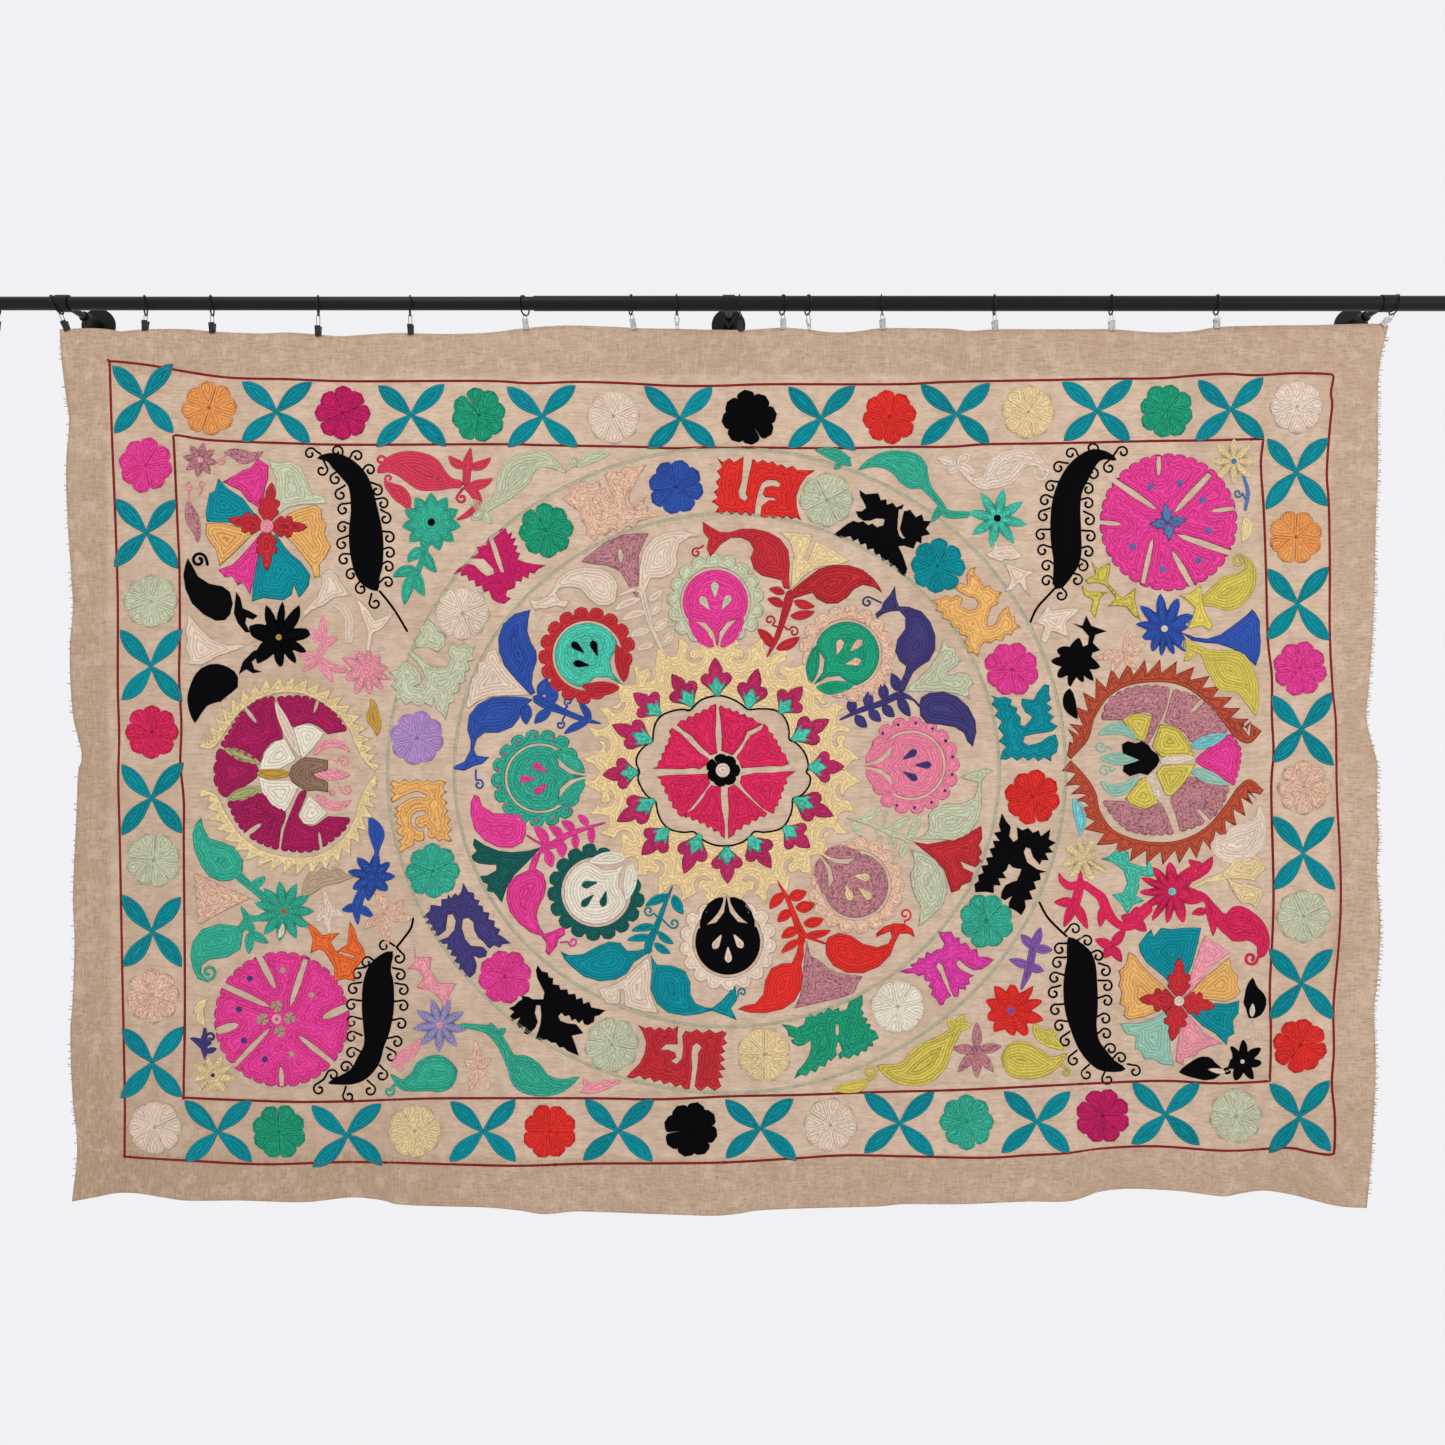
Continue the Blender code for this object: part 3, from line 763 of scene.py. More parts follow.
def leaf(thread, x0, y0, x1, y1, half, bend=0.0, fullest=0.45, lift=0.0):
    """A leaf from its foot to its tip, bent sideways by a share of its length."""
    points = []
    for share in (0.0, 0.1, 0.22, 0.36, 0.5, 0.64, 0.78, 0.9, 1.0):
        swell = math.sin(math.pi * share ** (math.log(0.5) / math.log(fullest))) ** 0.85
        aside = 4 * share * (1 - share) * bend
        points.append((mix(x0, x1, share) - (y1 - y0) * aside, mix(y0, y1, share) + (x1 - x0) * aside,
                       half * swell + 0.15))
    ribbon(thread, points, step=max(1.2, math.hypot(x1 - x0, y1 - y0) / 12), lift=lift)


def curl(thread, x, y, radius, start, turns=1.3, half=0.75, stem=None):
    """A spiral round a centre that starts on its outside at an angle in degrees."""
    points = [] if stem is None else [(stem[0], stem[1], half * 1.1)]
    for k in range(13):
        share = k / 12
        angle = math.radians(start) + 2 * math.pi * turns * share
        reach = radius * (1 - 0.78 * share)
        width = half * (1 + 0.5 * share**4)
        points.append((x + reach * math.cos(angle), y + reach * math.sin(angle), width))
    ribbon(thread, points, step=max(0.9, radius * 0.22))


ROSETTE_PETAL = ((0.0, 0.03), (0.30, 0.42), (0.55, 0.76), (0.74, 0.99), (0.88, 0.94), (0.96, 0.72))


def rosette(thread, x, y, radius, turn=0.0, petals=8, lift=0.0):
    """A round flower of petals sewn side by side, each in rows from the middle outwards."""
    half = 0.79 * math.pi * radius / petals
    for k in range(petals):
        angle = math.radians(turn) + 2 * math.pi * (k + rng.uniform(-0.04, 0.04)) / petals
        reach = radius * rng.uniform(0.97, 1.03)
        points = []
        for share, width in ROSETTE_PETAL:
            points.append((x + reach * share * math.cos(angle), y + reach * share * math.sin(angle),
                           half * width))
        ribbon(thread, points, step=radius / 10, lift=lift)


def disc(thread, x, y, radius, lift=0.5):
    polar(thread, x, y, lambda angles: np.full_like(angles, radius), 14 if radius < 8 else 40, lift=lift)


def star(thread, x, y, outer, inner, points, turn=0.0, centre=None, dot=4.0, sharp=0.85):
    polar(thread, x, y, pointed(outer, inner, points, sharp), points * 6, math.radians(turn))
    if centre:
        disc(centre, x, y, dot)


def flower(thread, x, y, inner, tips, centre=None, dot=4.0):
    """A star whose points reach for given places."""
    reaches = [(tip_x - x, tip_y - y) for tip_x, tip_y in tips]
    tips = sorted((math.atan2(down, right) % (2 * math.pi), math.hypot(right, down))
                  for right, down in reaches)
    angles, radii = [], []
    for (a, r), (b, _) in zip(tips, tips[1:] + [(tips[0][0] + 2 * math.pi, 0)]):
        angles += [a, mix(a, b, 0.24), (a + b) / 2, mix(a, b, 0.76)]
        radii += [r, mix(inner, r, 0.60), inner * 0.98, mix(inner, r, 0.60)]

    def edge(at):
        return np.interp(at, angles, radii, period=2 * math.pi)
    polar(thread, x, y, edge, len(tips) * 9)
    if centre:
        disc(centre, x, y, dot)


def trefoil(thread, x, y, tips, half=3.2):
    """Leaves that spread from one place to their tips."""
    for tip_x, tip_y in tips:
        leaf(thread, x, y, tip_x, tip_y, half, fullest=0.4)


def fan(thread, apex, first, second, teeth, depth):
    """A triangle with two hollow sides that meet at its apex and a lobed far side."""
    apex, first, second = (np.array(p, float) for p in (apex, first, second))
    middle = (apex + first + second) / 3
    hollow = [mix((apex + corner) / 2, middle, 0.06) for corner in (first, second)]
    outline = curve(apex, hollow[0], first)[:-1]
    cross = (first - apex)[0] * (second - apex)[1] - (first - apex)[1] * (second - apex)[0]
    edge = toothed(first, second, teeth, depth if cross > 0 else -depth)
    outline += [tuple(p) for p in edge]
    outline += curve(second, hollow[1], apex)[:-1]
    patch(thread, outline)


def main_line(thread, points, half=1.0):
    """One raised cord along a closed line of chart places."""
    ribbon(thread, [(x, y, half) for x, y in points], step=5.0, closed=True)


def walk(*counts):
    """An outline's places, charted as the first one and then the steps right and down to the next."""
    return [tuple(place) for place in np.cumsum(np.reshape(counts, (-1, 2)), axis=0).tolist()]


OUTER_LINE = walk(110, 361, 37, 3.6, 31, 5.4, 34, 5.5, 28, 2.5, 49, 1, 62, 2, 134, -0.3, 45, 2.3,
        47, -1.3, 48, 1.3, 48, 2.5, 48, 0, 48, -1.5, 127, 0, 54, -2.3, 89, -1.7, 69, -1.4, 52, -0.6,
        39, -3, 29, -1.4, 28, 1.4, 39, -2, 36, 1, 2.6, 3, -2.6, 16, 1.5, 11, -2.5, 23, -3, 46, 2, 31,
        1, 61, 0, 69, 3, 58, 3, 30, 1, 69, 3, 61, 1, 48, -2, 43, -4, 44, -1.5, 26, 0.5, 39, -2, 32, 3, 33,
        -0.7, 34, -4.3, 3.5, -20, -2.8, -24, -4.1, -59, 2.9, -70, -4.5, -53, 2, -38, 5, -38, 2, -44, 2.5,
        -79, -1.5, -59, -1, -50, 3, -67, 4, -53, 1, -91, 0.4, -65, 2.1, -70, -1.5, -97, -2.3, -88, 2.3,
        -73, -3.5, -64, -4, -3, -3.5, 0, -58, -2.6, -130, -2.4, -126, -1.5, -59, 0.9, -46, -1.4, -48,
        0, -86, -2, -70, -4, -100, -2, -65)
INNER_LINE = walk(176, 434.8, 36, 5.2, 76, 3, 62, 1.5, 150, -0.5, 46, 1, 95, 1.7, 32, 1.3, 48, -1, 112, 1,
        63, -1.3, 54, -0.2, 37, -2.5, 69, -1, 87, -2, 70, -1, 47, -1, 3, 3, -2, 23, 3, 46, 2, 54, 2, 73,
        4, 38, 0, 39, 1.7, 38, -2.3, 38, 2.3, 109, -3.7, 87, 1, 43, -1, 47, -4, 4, -50, 2, -49, -2.4,
        -57, 1.7, -105, 5.3, -55, 2.4, -79, 2, -70, 2.6, -70, 1.4, -71, 3, -70, -1, -140, 0, -47, 1,
        -52, 2, -53, 0.6, -53, -1.6, -57, -2.6, -4, -3.4, 1, -64, 0, -65, -1, -116, 0, -48, -3.4, -38,
        1, -39, -2.3, -48, 0.7, -38, -0.3, -69, -1.7, -39, -3, -68, -1, -24)
BAND_CROSSES = (
    (144, 399), (276.5, 412), (411, 415), (543, 416), (680, 418), (821.5, 418), (957, 413.5),
    (1097, 411), (1231, 409), (1297, 472), (1298, 603), (1302, 728), (1303.4, 853), (1301.6, 983),
    (1299, 1117), (1165.5, 1114), (1037, 1122), (900, 1123), (761, 1128.6), (618.4, 1131),
    (483, 1131.5), (347.3, 1135), (217.5, 1132), (146.7, 533), (151, 666), (152, 798),
    (152, 931.5), (152, 1062),
)
BAND_ROSETTES = (
    ("tangerine", 209.5, 408), ("magenta", 343, 413), ("green", 479, 415), ("cream", 613.6, 416),
    ("black", 749, 417.5), ("red", 889.5, 416.5), ("corn", 1028.5, 412), ("green", 1166.6, 410.6),
    ("shell", 1297, 406.4), ("tangerine", 1296, 537), ("pink", 1300, 668), ("apricot", 1304, 787),
    ("mint", 1303.4, 916), ("red", 1300, 1045.5), ("mint", 1235.7, 1116), ("magenta", 1102.7, 1116),
    ("jade", 967, 1122), ("cream", 830.6, 1125), ("black", 691, 1129), ("red", 550, 1131),
    ("corn", 415, 1131), ("green", 279, 1131.5), ("cream", 155, 1127), ("pink", 145.7, 465),
    ("mint", 151.5, 601), ("crimson", 152, 732), ("mint", 153.6, 860), ("apricot", 153, 996),
)
RING_ROSETTES = (
    ("blue", 676, 487), ("mint", 827, 500), ("teal", 937.6, 566), ("pink", 1011.7, 669),
    ("red", 1032.5, 797), ("jade", 986.7, 920.7), ("ivory", 898, 1006.7), ("corn", 764.6, 1054.6),
    ("mint", 612, 1044.6), ("pink", 505, 976.5), ("jade", 433, 871), ("lilac", 417, 738),
    ("cream", 462.6, 613), ("green", 546.3, 530.4),
)
RING_COMBS = (
    # thread, outline, slits
    ("red", walk(717, 457, 6, 5, 6.5, -4, 5, 4, 10.5, -6.5, 8, 3, 5, 4, 5, -3, 5.5, 3.5, 4.5, -2,
            4.5, 4.5, 4.5, -1.5, 5, 4, 5.5, -2.5, 5, 4.5, 18, 0, -9.5, 6.5, -6, 9.5, -3.5, 10, 0.5, 10.5,
            2, 8, 2.5, 6, -5.5, -3.5, -4.5, 2, -4.5, -3.5, -4.5, 3.5, -4, -3.5, -4.5, 3, -4.5, -3,
            -4, 2.5, -7, -2, -4, -3, -5, 3, -3.5, -4.5, -4.5, 4, -5, -4, -5, 3, -4.5, -4, -5, 3.5,
            -6.5, -2.5, 4, -5, -8, -5.5, 6.5, -3.5, -4, -6, 5.5, -4.5, -3.5, -5.5, 5, -5, -4, -5.5,
            5.5, -4.5), (
        walk(744, 453.5, 9.5, 1.5, -2.5, 12.5, -2.5, 10.5, -1.5, 9, -1, 6.5, 2, 4, -3, 3.5, -5, -3.5,
                -1.5, -6, 3, -9, 1.5, -12.5),
        walk(754.5, 519, 5.5, 0, 2, -13.5, 7, -5.5, 7, 0, -1.5, -2.5, -9, -0.5, -2.5, -3.5, 2.5, -6.5,
                7, -1.5, 6.5, 1.5, 2, -3.5, -5, -3.5, -8.5, -0.5, -5.5, 3.5, -3.5, 8.5, -2.5, 11.5),
    )),
    ("black", walk(859.5, 489.5, 6, 4.5, 5.5, -0.5, 7.5, -0.5, 2.5, 7, 5.5, -1, 0.5, 5.5, 6, -2, 3.5, 4.5,
            7.5, -3, -2.5, 7, 6.5, -0.5, 2, -1.5, 6, 8, 6, -3, 2, 6.5, 7.5, 0.5, -5.5, 7.5, 4.5, 5.5,
            -8.5, 2, -0.5, 7.5, -4.5, -2.5, -3.5, 7.5, -9, -3, -6, 0.5, 4.5, 9, 4.5, 13.5, -2.5, 8,
            -5.5, -3.5, -4.5, -8, -4.5, 1.5, -2, -7, -6, 1, -2.5, -7, -4.5, 1.5, -2, -7, -6, 1.5,
            -1.5, -6.5, -5.5, 1.5, -2.5, -6, -4.5, 2.5, -3, -5, -9.5, 1.5, -7, -3.5, 6, -4.5, 7, -5.5,
            6.5, -3.5, 5, 1.5, 5, -1, 5, 4, 4, -2, 4.5, 4, 6.5, -2, 1.5, -6, -8, -1, -7, 2.5, -6, 0,
            -5.5, -3.5, -2.5, -6, 6, 0, 4.5, -3.5, -3, -6.5, -3, -5), (
        walk(899, 509, 5.5, 0, -2.5, 11.5, -2, 8, 3, 7, 2.5, 2, -2.5, 1, -3.5, -3, -2, -7, 0.5, -8),
    )),
    ("peach", walk(976.5, 566, -3, 7, 7, 6, 3.5, 8, 5.5, -2, 4.5, 5.5, 8.5, 1.5, -4.5, 6, 1, 5.5,
            -7.5, 3.5, -2, 7.5, -2.5, 7, 2.5, 5, 6.5, -3, 2.5, -8, 5.5, -7, 5, -2, 1.5, 8, 5, 2.5,
            -0.5, 5.5, 6, 4, -7, 3, -2, 5.5, -6.5, -1, -3, 7, -6.5, -1.5, -5, 3.5, -6.5, -1, -4, 4.5,
            -2, 10.5, -5, -4.5, -6.5, 0, 1, -7, -4, -3.5, 3.5, -5.5, -8, -2.5, -0.5, -6, -7.5, -1, -1, -6,
            -8.5, -3, 1.5, -5.5, -8, -2, 2, -6.5, -7, -3.5, 9.5, -2, 7, -3.5, 4.5, 3.5, 5.5, -4, 6, 4,
            -2.5, 7, 8, 4.5, 7, -1.5, 3.5, -4.5, -3.5, -5.5, -8, -2.5, -9, -4.5, -3.5, -4.5, 5.5, -4.5,
            7, 2, -1, -9, 3.5, -7), ()),
    ("teal", walk(991, 695, 7.5, 2.5, 7, -1, 6.5, 3, -1, 5.5, 6.5, 2.5, -1, 5.5, 4.5, 3.5, -0.5, 8,
            4.5, 1.5, 5.5, -6, 2, -3.5, -7, -4.5, -4, -8, 0.5, -5.5, 6.5, 0.5, 5.5, 0.5, 3.5, -7, 7, -8.5,
            5, 1, -0.5, 7.5, 2, 7, -4.5, 3.5, 6, 4.5, -4.5, 4.5, 6.5, 4.5, -4.5, 4.5, 8, 5, -5.5, 5,
            -8, 1.5, -11.5, 1.5, -8, 2, -1.5, 6, 5, 3, 11.5, -2.5, 9, -6.5, 7, -2, 2.5, 9, -1.5, 9,
            -5.5, 3.5, 0, 6, -7, -4.5, -6, 4, -4.5, -4.5, -5.5, 4, -5, -4, -6.5, 4, -5, -4, -5.5, 3,
            -6, -0.5, 2, -8, 4, -4.5, -7.5, -5.5, 5, -6, -5.5, -7, 3.5, -7, -7, -5.5, 3.5, -5.5, -7, -6,
            3.5, -4.5), ()),
    ("apricot", walk(562, 498.5, 8, -5.5, -1.5, -6, 10.5, -3.5, 4.5, -4.5, 7, 6, 9, -5, 2.5, 9.5, 6, -6,
            -3.5, -9, 6.5, -3.5, 9.5, 1, 3.5, -5.5, 8, 1, 15.5, -3.5, -7.5, 10.5, -6, 11.5, -4.5, 9, 1, 8,
            6, 2.5, 10.5, -10.5, -3.5, 8, 5.5, 3.5, -2, 4.5, 12.5, 4.5, -11.5, 3.5, -9, 2.5, -5, 7,
            -6.5, -2.5, -7, 7, -8, -4.5, -6, 7, -7, -1.5, -4.5, 7, -9, -7, 1, -7, -5.5, -6.5, -1.5, -9.5,
            -8, -4.5), (
        (
            (604.5, 481.5), (609, 486), (614.5, 501), (612.5, 502), (606.5, 491.5),
        ),
        walk(626, 493, 3.5, -3.5, -1.5, 9, 4, 8, 3.5, 3.5, -6, -1, -3.5, -7),
    )),
    ("magenta", walk(505.5, 527, 2.5, 7, 4.5, -2, -2, 6.5, 6, -1, -3.5, 7, 5, 1, -2.5, 6, 5, 1.5, -3, 6,
            7.5, 3, 9.5, 2, 11.5, 1, -8, 4, -3.5, 4.5, -5, -1.5, -1, 6, -5.5, -2, -1.5, 5.5, -5.5, -1,
            -1, 7, -8, 3, -1, 5.5, 5.5, 2, -7, 5.5, -7, -1.5, -5.5, -3.5, -2.5, -8, -5.5, 1.5, -2, -7,
            -6, 1.5, -1.5, -7, -5.5, 1, -2, -6, -6, 1.5, 0.5, -5, -8.5, 3.5, 6.5, -7, 7.5, -4, 7.5, 1.5,
            6.5, 6.5, 6, 4.5, 7.5, -2.5, -1, -5, -5, -5, -4.5, -5, -13.5, -0.5, 8, -5.5, -1.5, -5.5,
            9, -2.5, 3, -8.5, 5, 6, -1, -4.5, 5.5, -3.5, 1.5, -4.5), (
        walk(488.5, 535.5, 4.5, 2, 4.5, 10.5, 3.5, 11.5, 3.5, 12.5, -3.5, 0, -4.5, -10.5, -4.5, -13.5),
    )),
    ("mint", walk(426.5, 617, -1.5, 7, -6, 3, 3, 7, -8.5, 5.5, 3.5, 5.5, -5, 6, 6.5, 3.5, 4.5, 6, 8, 5.5,
            9, 1.5, 7, -1.5, 4.5, -8, -4.5, -5.5, 6, -10.5, 5.5, 6, 6, -6, 4.5, 5, 6.5, -1.5, -3, 8,
            2, 6.5, -7, 2, 3, 7.5, -6, 3.5, 2, 8, -6.5, 3, 0, 7.5, -6, 1.5, 1, 8.5, -5.5, 2, -3.5, 17,
            -4.5, -7.5, -6, -4.5, -1, -11.5, -2.5, 10.5, -6.5, -4.5, -7, 3.5, -7, -5, -6, 3.5, -4.5, -6.5,
            -5.5, 3, 1.5, -11, -6.5, -5, 6, -6.5, -8, -7, 9.5, -2.5, 6.5, -9, 8, 3.5, 7, 8, 3.5, 9,
            -4.5, 4, -4.5, 1, 8, 1.5, 3.5, -7.5, -2.5, -9.5, -7, -9, -9, -8, 9, -5.5, 11.5, -1.5, 10.5, 6,
            7, -8, 1, -9.5, -7, -3.5, -4.5, -8), ()),
    ("peach", walk(393, 779.5, 7, 3.5, 4.5, -4.5, 5.5, 4, 7, -3.5, 6, 3.5, 4.5, -3, 5.5, 3, 6, -3, 8, 2.5,
            -4.5, 5.5, 4.5, 4.5, -6, 4.5, 7, 6, -4.5, 3.5, 5.5, 4.5, -4.5, 4.5, 7, 4.5, -4.5, 5, 5.5, 4.5,
            -4.5, 4.5, 4.5, 7, -3.5, 1.5, -5.5, -3, -4.5, 2.5, -3.5, -4.5, -3.5, 2, -4.5, -3, 1.5, -7,
            -3, -4.5, -3, 4.5, 2, 7, -1, 4.5, -6, 1, -3, -2.5, -1.5, 6, -7, 3.5, -6.5, 5.5, -1.5, -5.5,
            3.5, -4.5, -4.5, -3.5, 7, -3.5, -7, -3.5, -1, -4.5, 5.5, -2.5, -6.5, -4.5, 3, -3.5,
            -5.5, -3.5, 5.5, -3.5, -4.5, -3.5, 3.5, -2, -5.5, -3.5, -1.5, -4.5, 5, -3.5, -5.5, -4.5,
            4, -2.5, -4, -3.5), (
        walk(388.5, 805.5, 11.5, -7.5, 9, -4.5, 9, -2.5, 9.5, 4.5, -1.5, 2.5, -8, -1.5, -8, 1.5, -8, 5.5,
                -11.5, 5),
        walk(412.5, 815, 4.5, -3.5, 8, -1, 1, 3.5, -10, 3.5, -1, 5.5, 4.5, 4.5, 6.5, -1, 1.5, 2.5, -8, 2,
                -7, -4.5, -1.5, -7),
    )),
    ("navy", walk(463.5, 882.5, 5, 9, 5.5, 1, 0.5, 6.5, 5.5, 1, -2, 4.5, 5, 1.5, 0.5, 5.5, 6, 1, -1, 6.5,
            6.5, 1.5, -0.5, 6, 6, 2.5, -2.5, 5, 5.5, 3, 7.5, 6, -8.5, 1, -2.5, 3.5, -6, -2.5, -4.5, 3.5,
            -5.5, -6.5, -6, -5, -3.5, -7, -1, -8, -5, -4.5, -5.5, 1.5, -1, 8.5, 3.5, 11.5, 5.5, 6.5,
            11.5, 1, 5, 4.5, -1.5, 5.5, -6.5, 1.5, -5.5, -2.5, 3, 9, -1.5, 8, -4.5, 4.5, -5.5, -1,
            -1.5, -6, -5.5, -1, 2, -5.5, -6.5, -1.5, 3, -5.5, -6.5, -1.5, 2, -5.5, -5.5, -0.5, 1, -5.5,
            -5, 0, -4.5, -3, 9.5, -3.5, 6.5, -7.5, 1.5, -9, -3, -6.5, -5, 0.5, -1, 6, -1, 9.5, -7, 5.5,
            -4.5, 0, 2, -5, -6, -0.5, 2.5, -5.5, -8, -1.5, 4.5, -4.5, -7, -1.5, 7.5, -6.5, 1, -6,
            10.5, 1.5, 0, -7, 6, -0.5, 0.5, -4.5, 3.5, 4, 3.5, -5, 3.5, 2.5, 3, -4), ()),
    ("black", walk(538, 965, 4, 6, 6, 1.5, 1, 4.5, 4.5, 1, -0.5, 6, 6.5, 1, 1, 4.5, 7, -0.5, 1, 5,
            7, -0.5, 1, 5.5, 6, -1.5, 1, 6, 6, -2, 2, 5.5, 14, 3, -6, 5, -4.5, 1, -1, 5.5, -6, 3.5,
            -3.5, -1, -2, -4.5, -3.5, 3.5, -3.5, -4.5, -3.5, 2, -2.5, -5.5, -4.5, 1, -3.5, -3.5, -3, 3.5,
            2, 4.5, 7, 2.5, 9, 1, 7, 9, -7, 1.5, -4.5, 1, 3.5, 9, 3.5, 11, -7, -3, -4.5, -2, -3.5, -3.5,
            -4.5, 0, -3.5, -4.5, -4.5, 0, -4.5, -3.5, -6, 1, -5.5, -1.5, 3, -7.5, 2, -7, 1, -9, -1, -10,
            -4, 0, -1.5, 7.5, 3, 9, -2.5, 6, -7, 7, -4.5, -1.5, 2, -6.5, -7, 1.5, -2, -5, 3.5, -6,
            -8, 3.5, -2.5, -4.5, 4.5, -4.5, -5.5, -3.5, 5.5, -2.5, 4.5, -4.5, 3.5, -2, -1, -3.5, 7, 1,
            4.5, 2.5, 10.5, 0, 1, -7, -3.5, -7, -3.5, -7, -1.5, -8), ()),
    ("brick", walk(638, 1024.5, 7.5, 3.5, 5, -1.5, 4.5, 3.5, 4.5, -3, 5.5, 3, 4, -3.5, 4.5, 2.5, 5, -3.5,
            -1, 9, 0.5, 9.5, -12, 0, -5.5, 5.5, 8, 0, 7, 3, 1, 5, -5.5, 3, 5.5, 3.5, 5.5, -5.5,
            1.5, -11.5, -1, -11.5, 3, -5, 6, 1.5, 5.5, -3, 6, 4, 6.5, -4, 6, 4, 7, -2.5, 4.5, 2.5,
            -3.5, 5, 4, 5, -6, 3, 4, 5.5, -5.5, 2.5, 5.5, 5.5, -5.5, 3, 6, 6.5, -7, 1.5, 4.5, 6.5,
            -5.5, 1, 3.5, 8, -7, 4.5, -7, -5, -7, 6, -5.5, -5.5, 1, -9, 2, -14, 0.5, -10.5, 3.5, -5.5,
            -5, -4.5, -4.5, 3.5, -1, 10, 1, 11.5, -1.5, 11.5, -1.5, 9.5, -5, 1, -3.5, -5.5, -5.5, 3,
            -4.5, -5.5, -7, 2.5, -3.5, -4.5, -6, 2.5, -4.5, -5, -5.5, 2.5, -4.5, -4.5, -6, 3, -8, -0.5,
            7, -7.5, 7, -7, 4.5, -9, 2, -11.5, -3.5, -10.5), ()),
    ("green", walk(781.5, 1024, 8, 1, 8, 2.5, 7, -3.5, 1.5, -7, 4.5, -3.5, 4.5, 2.5, 7, -4.5, 2, 2,
            4.5, -6.5, 5, 3.5, 5.5, -3.5, 1, 4.5, 7, -2.5, 2.5, -8, 5.5, -2, 7.5, -4.5, 0.5, 9, -2, 5.5,
            3, 3.5, -2, 3.5, 6, 2.5, -2.5, 4.5, 5.5, 1, -1, 4.5, 6, 2.5, 3, 7, -6.5, 3, 1, 5, -5.5, 0,
            -1.5, 5.5, -5.5, -1, -2.5, 5.5, -4.5, -2, -4.5, 4.5, -6, -2.5, -3.5, 3.5, -1.5, -5.5, 4, -3.5,
            -3, -8, -1.5, -1.5, -2, 8.5, 1, 5.5, -6, 6, -2.5, -2.5, -3, 8, -6, -1, -3.5, 6.5, -5.5, -2,
            -3.5, 5.5, -6, -1, -6.5, 4, 3, -7.5, 7, -8, 4.5, -7, 2.5, -9, -1, -7, -6, 4.5, -5.5, 1.5,
            -6, -2.5, -2, -3.5, 4.5, -2, -7, -2.5, -1, -5.5), (
        (
            (836, 1024), (838.5, 1024), (839.5, 1032), (838, 1036.5), (835.5, 1033),
        ),
    )),
    ("orchid", walk(938, 931, 6.5, 1, 7, -1, 3.5, 7, 4.5, -1, 1, 6.5, 6, -1, 4.5, 7, 6, -1, 2, 8, 8, 0,
            7, 3, -5.5, 5, -6, 4.5, -9, 1, -7, -4, -7, -6.5, -3.5, 3.5, 4.5, 6, 7, 3.5, 7, 3, -5.5, 2.5,
            1, 6, -4.5, 1, 1, 4.5, -7, -1, -1, 8, -4.5, 0, -3.5, -7, -2.5, -9, -3.5, -9.5, -2, -6.5,
            -4.5, -2.5, -1.5, 4.5, 4.5, 7, 2.5, 7, 2.5, 5.5, 5.5, 9.5, -5.5, 3.5, -2.5, 5.5, -3.5, 1,
            -3.5, -6.5, -5.5, -5, 2, -4.5, -4.5, -3.5, 2.5, -4.5, -6, -1, -1, -6, -5.5, 1.5, -5, -3.5,
            -6.5, 1, -7.5, -2.5, 8.5, -3, 5.5, 0, -3.5, -3.5, 7, -2.5, 1.5, -4.5, 6.5, 1, 1.5, -7,
            5.5, 1.5, 4.5, -3.5, 6, -1, 2, -5, -3.5, -5.5), ()),
    ("black", walk(1002, 813, 4.5, 8, 4.5, 5.5, -1.5, 9.5, 4, 5.5, 4.5, -2.5, -1, -12.5, 5.5, 3.5,
            6, -2.5, 4.5, 5, 6, -2.5, 2, 6, 9.5, -7, -1.5, 10, 7, 3.5, -7, 4.5, 4.5, 5, -8, 1, 3.5, 7,
            -7, 0, -2, 4.5, -7, -8, -2.5, -8, -4.5, -1.5, -2, 5, 3.5, 10, 10, 7, 9.5, 2.5, -7, 1.5,
            1, 6.5, -7, 2, 2.5, 7, -7, 2.5, 3.5, 8, -8, 1, 1, 7, -4.5, 8, -5.5, -4.5, -7, -3.5, 0, -4.5,
            3.5, -7, -7, 4.5, -4.5, -2, 1, -7, 3.5, -6, 7, -3.5, 4.5, -1, 3.5, -8, 1, -3.5, -8, -1.5,
            -4.5, -4, -2.5, 6.5, -3.5, 2.5, 3.5, 5.5, -8, 0, 2.5, 7, -7, 0, 0, 8, -8, -1.5, -10.5, 0.5,
            -1, -8, 4.5, -3.5, -1, -5.5, 5.5, -2.5, -2, -7, 7, -1, -2.5, -7, 7, -1, -3.5, -8, 5.5, -1.5,
            -2, -6.5, 7, 0, -6, -8, 7, -1.5, -2, -6.5), ()),
)


def border():
    for line in (OUTER_LINE, INNER_LINE):
        main_line("maroon", line, 1.25)
    for x, y in BAND_CROSSES:
        wide, high = (34.5, 31.0) if 170 < x < 1280 else (31.0, 35.5)
        for side, up in ((-1, -1), (1, -1), (1, 1), (-1, 1)):
            tip_x = x + side * wide * rng.uniform(0.94, 1.05)
            tip_y = y + up * high * rng.uniform(0.94, 1.05)
            leaf("teal", x - side * 1.5, y - up * 1.5, tip_x, tip_y, 8.0, rng.uniform(-0.04, 0.04), 0.58)
    for thread, x, y in BAND_ROSETTES:
        rosette(thread, x, y, 28.8, rng.uniform(0, 45))


RING_CENTRE = (727, 770)
RING_RADII = (
    # across and down, of its two double lines
    (272.5, 256.5), (339.0, 322.5),
)


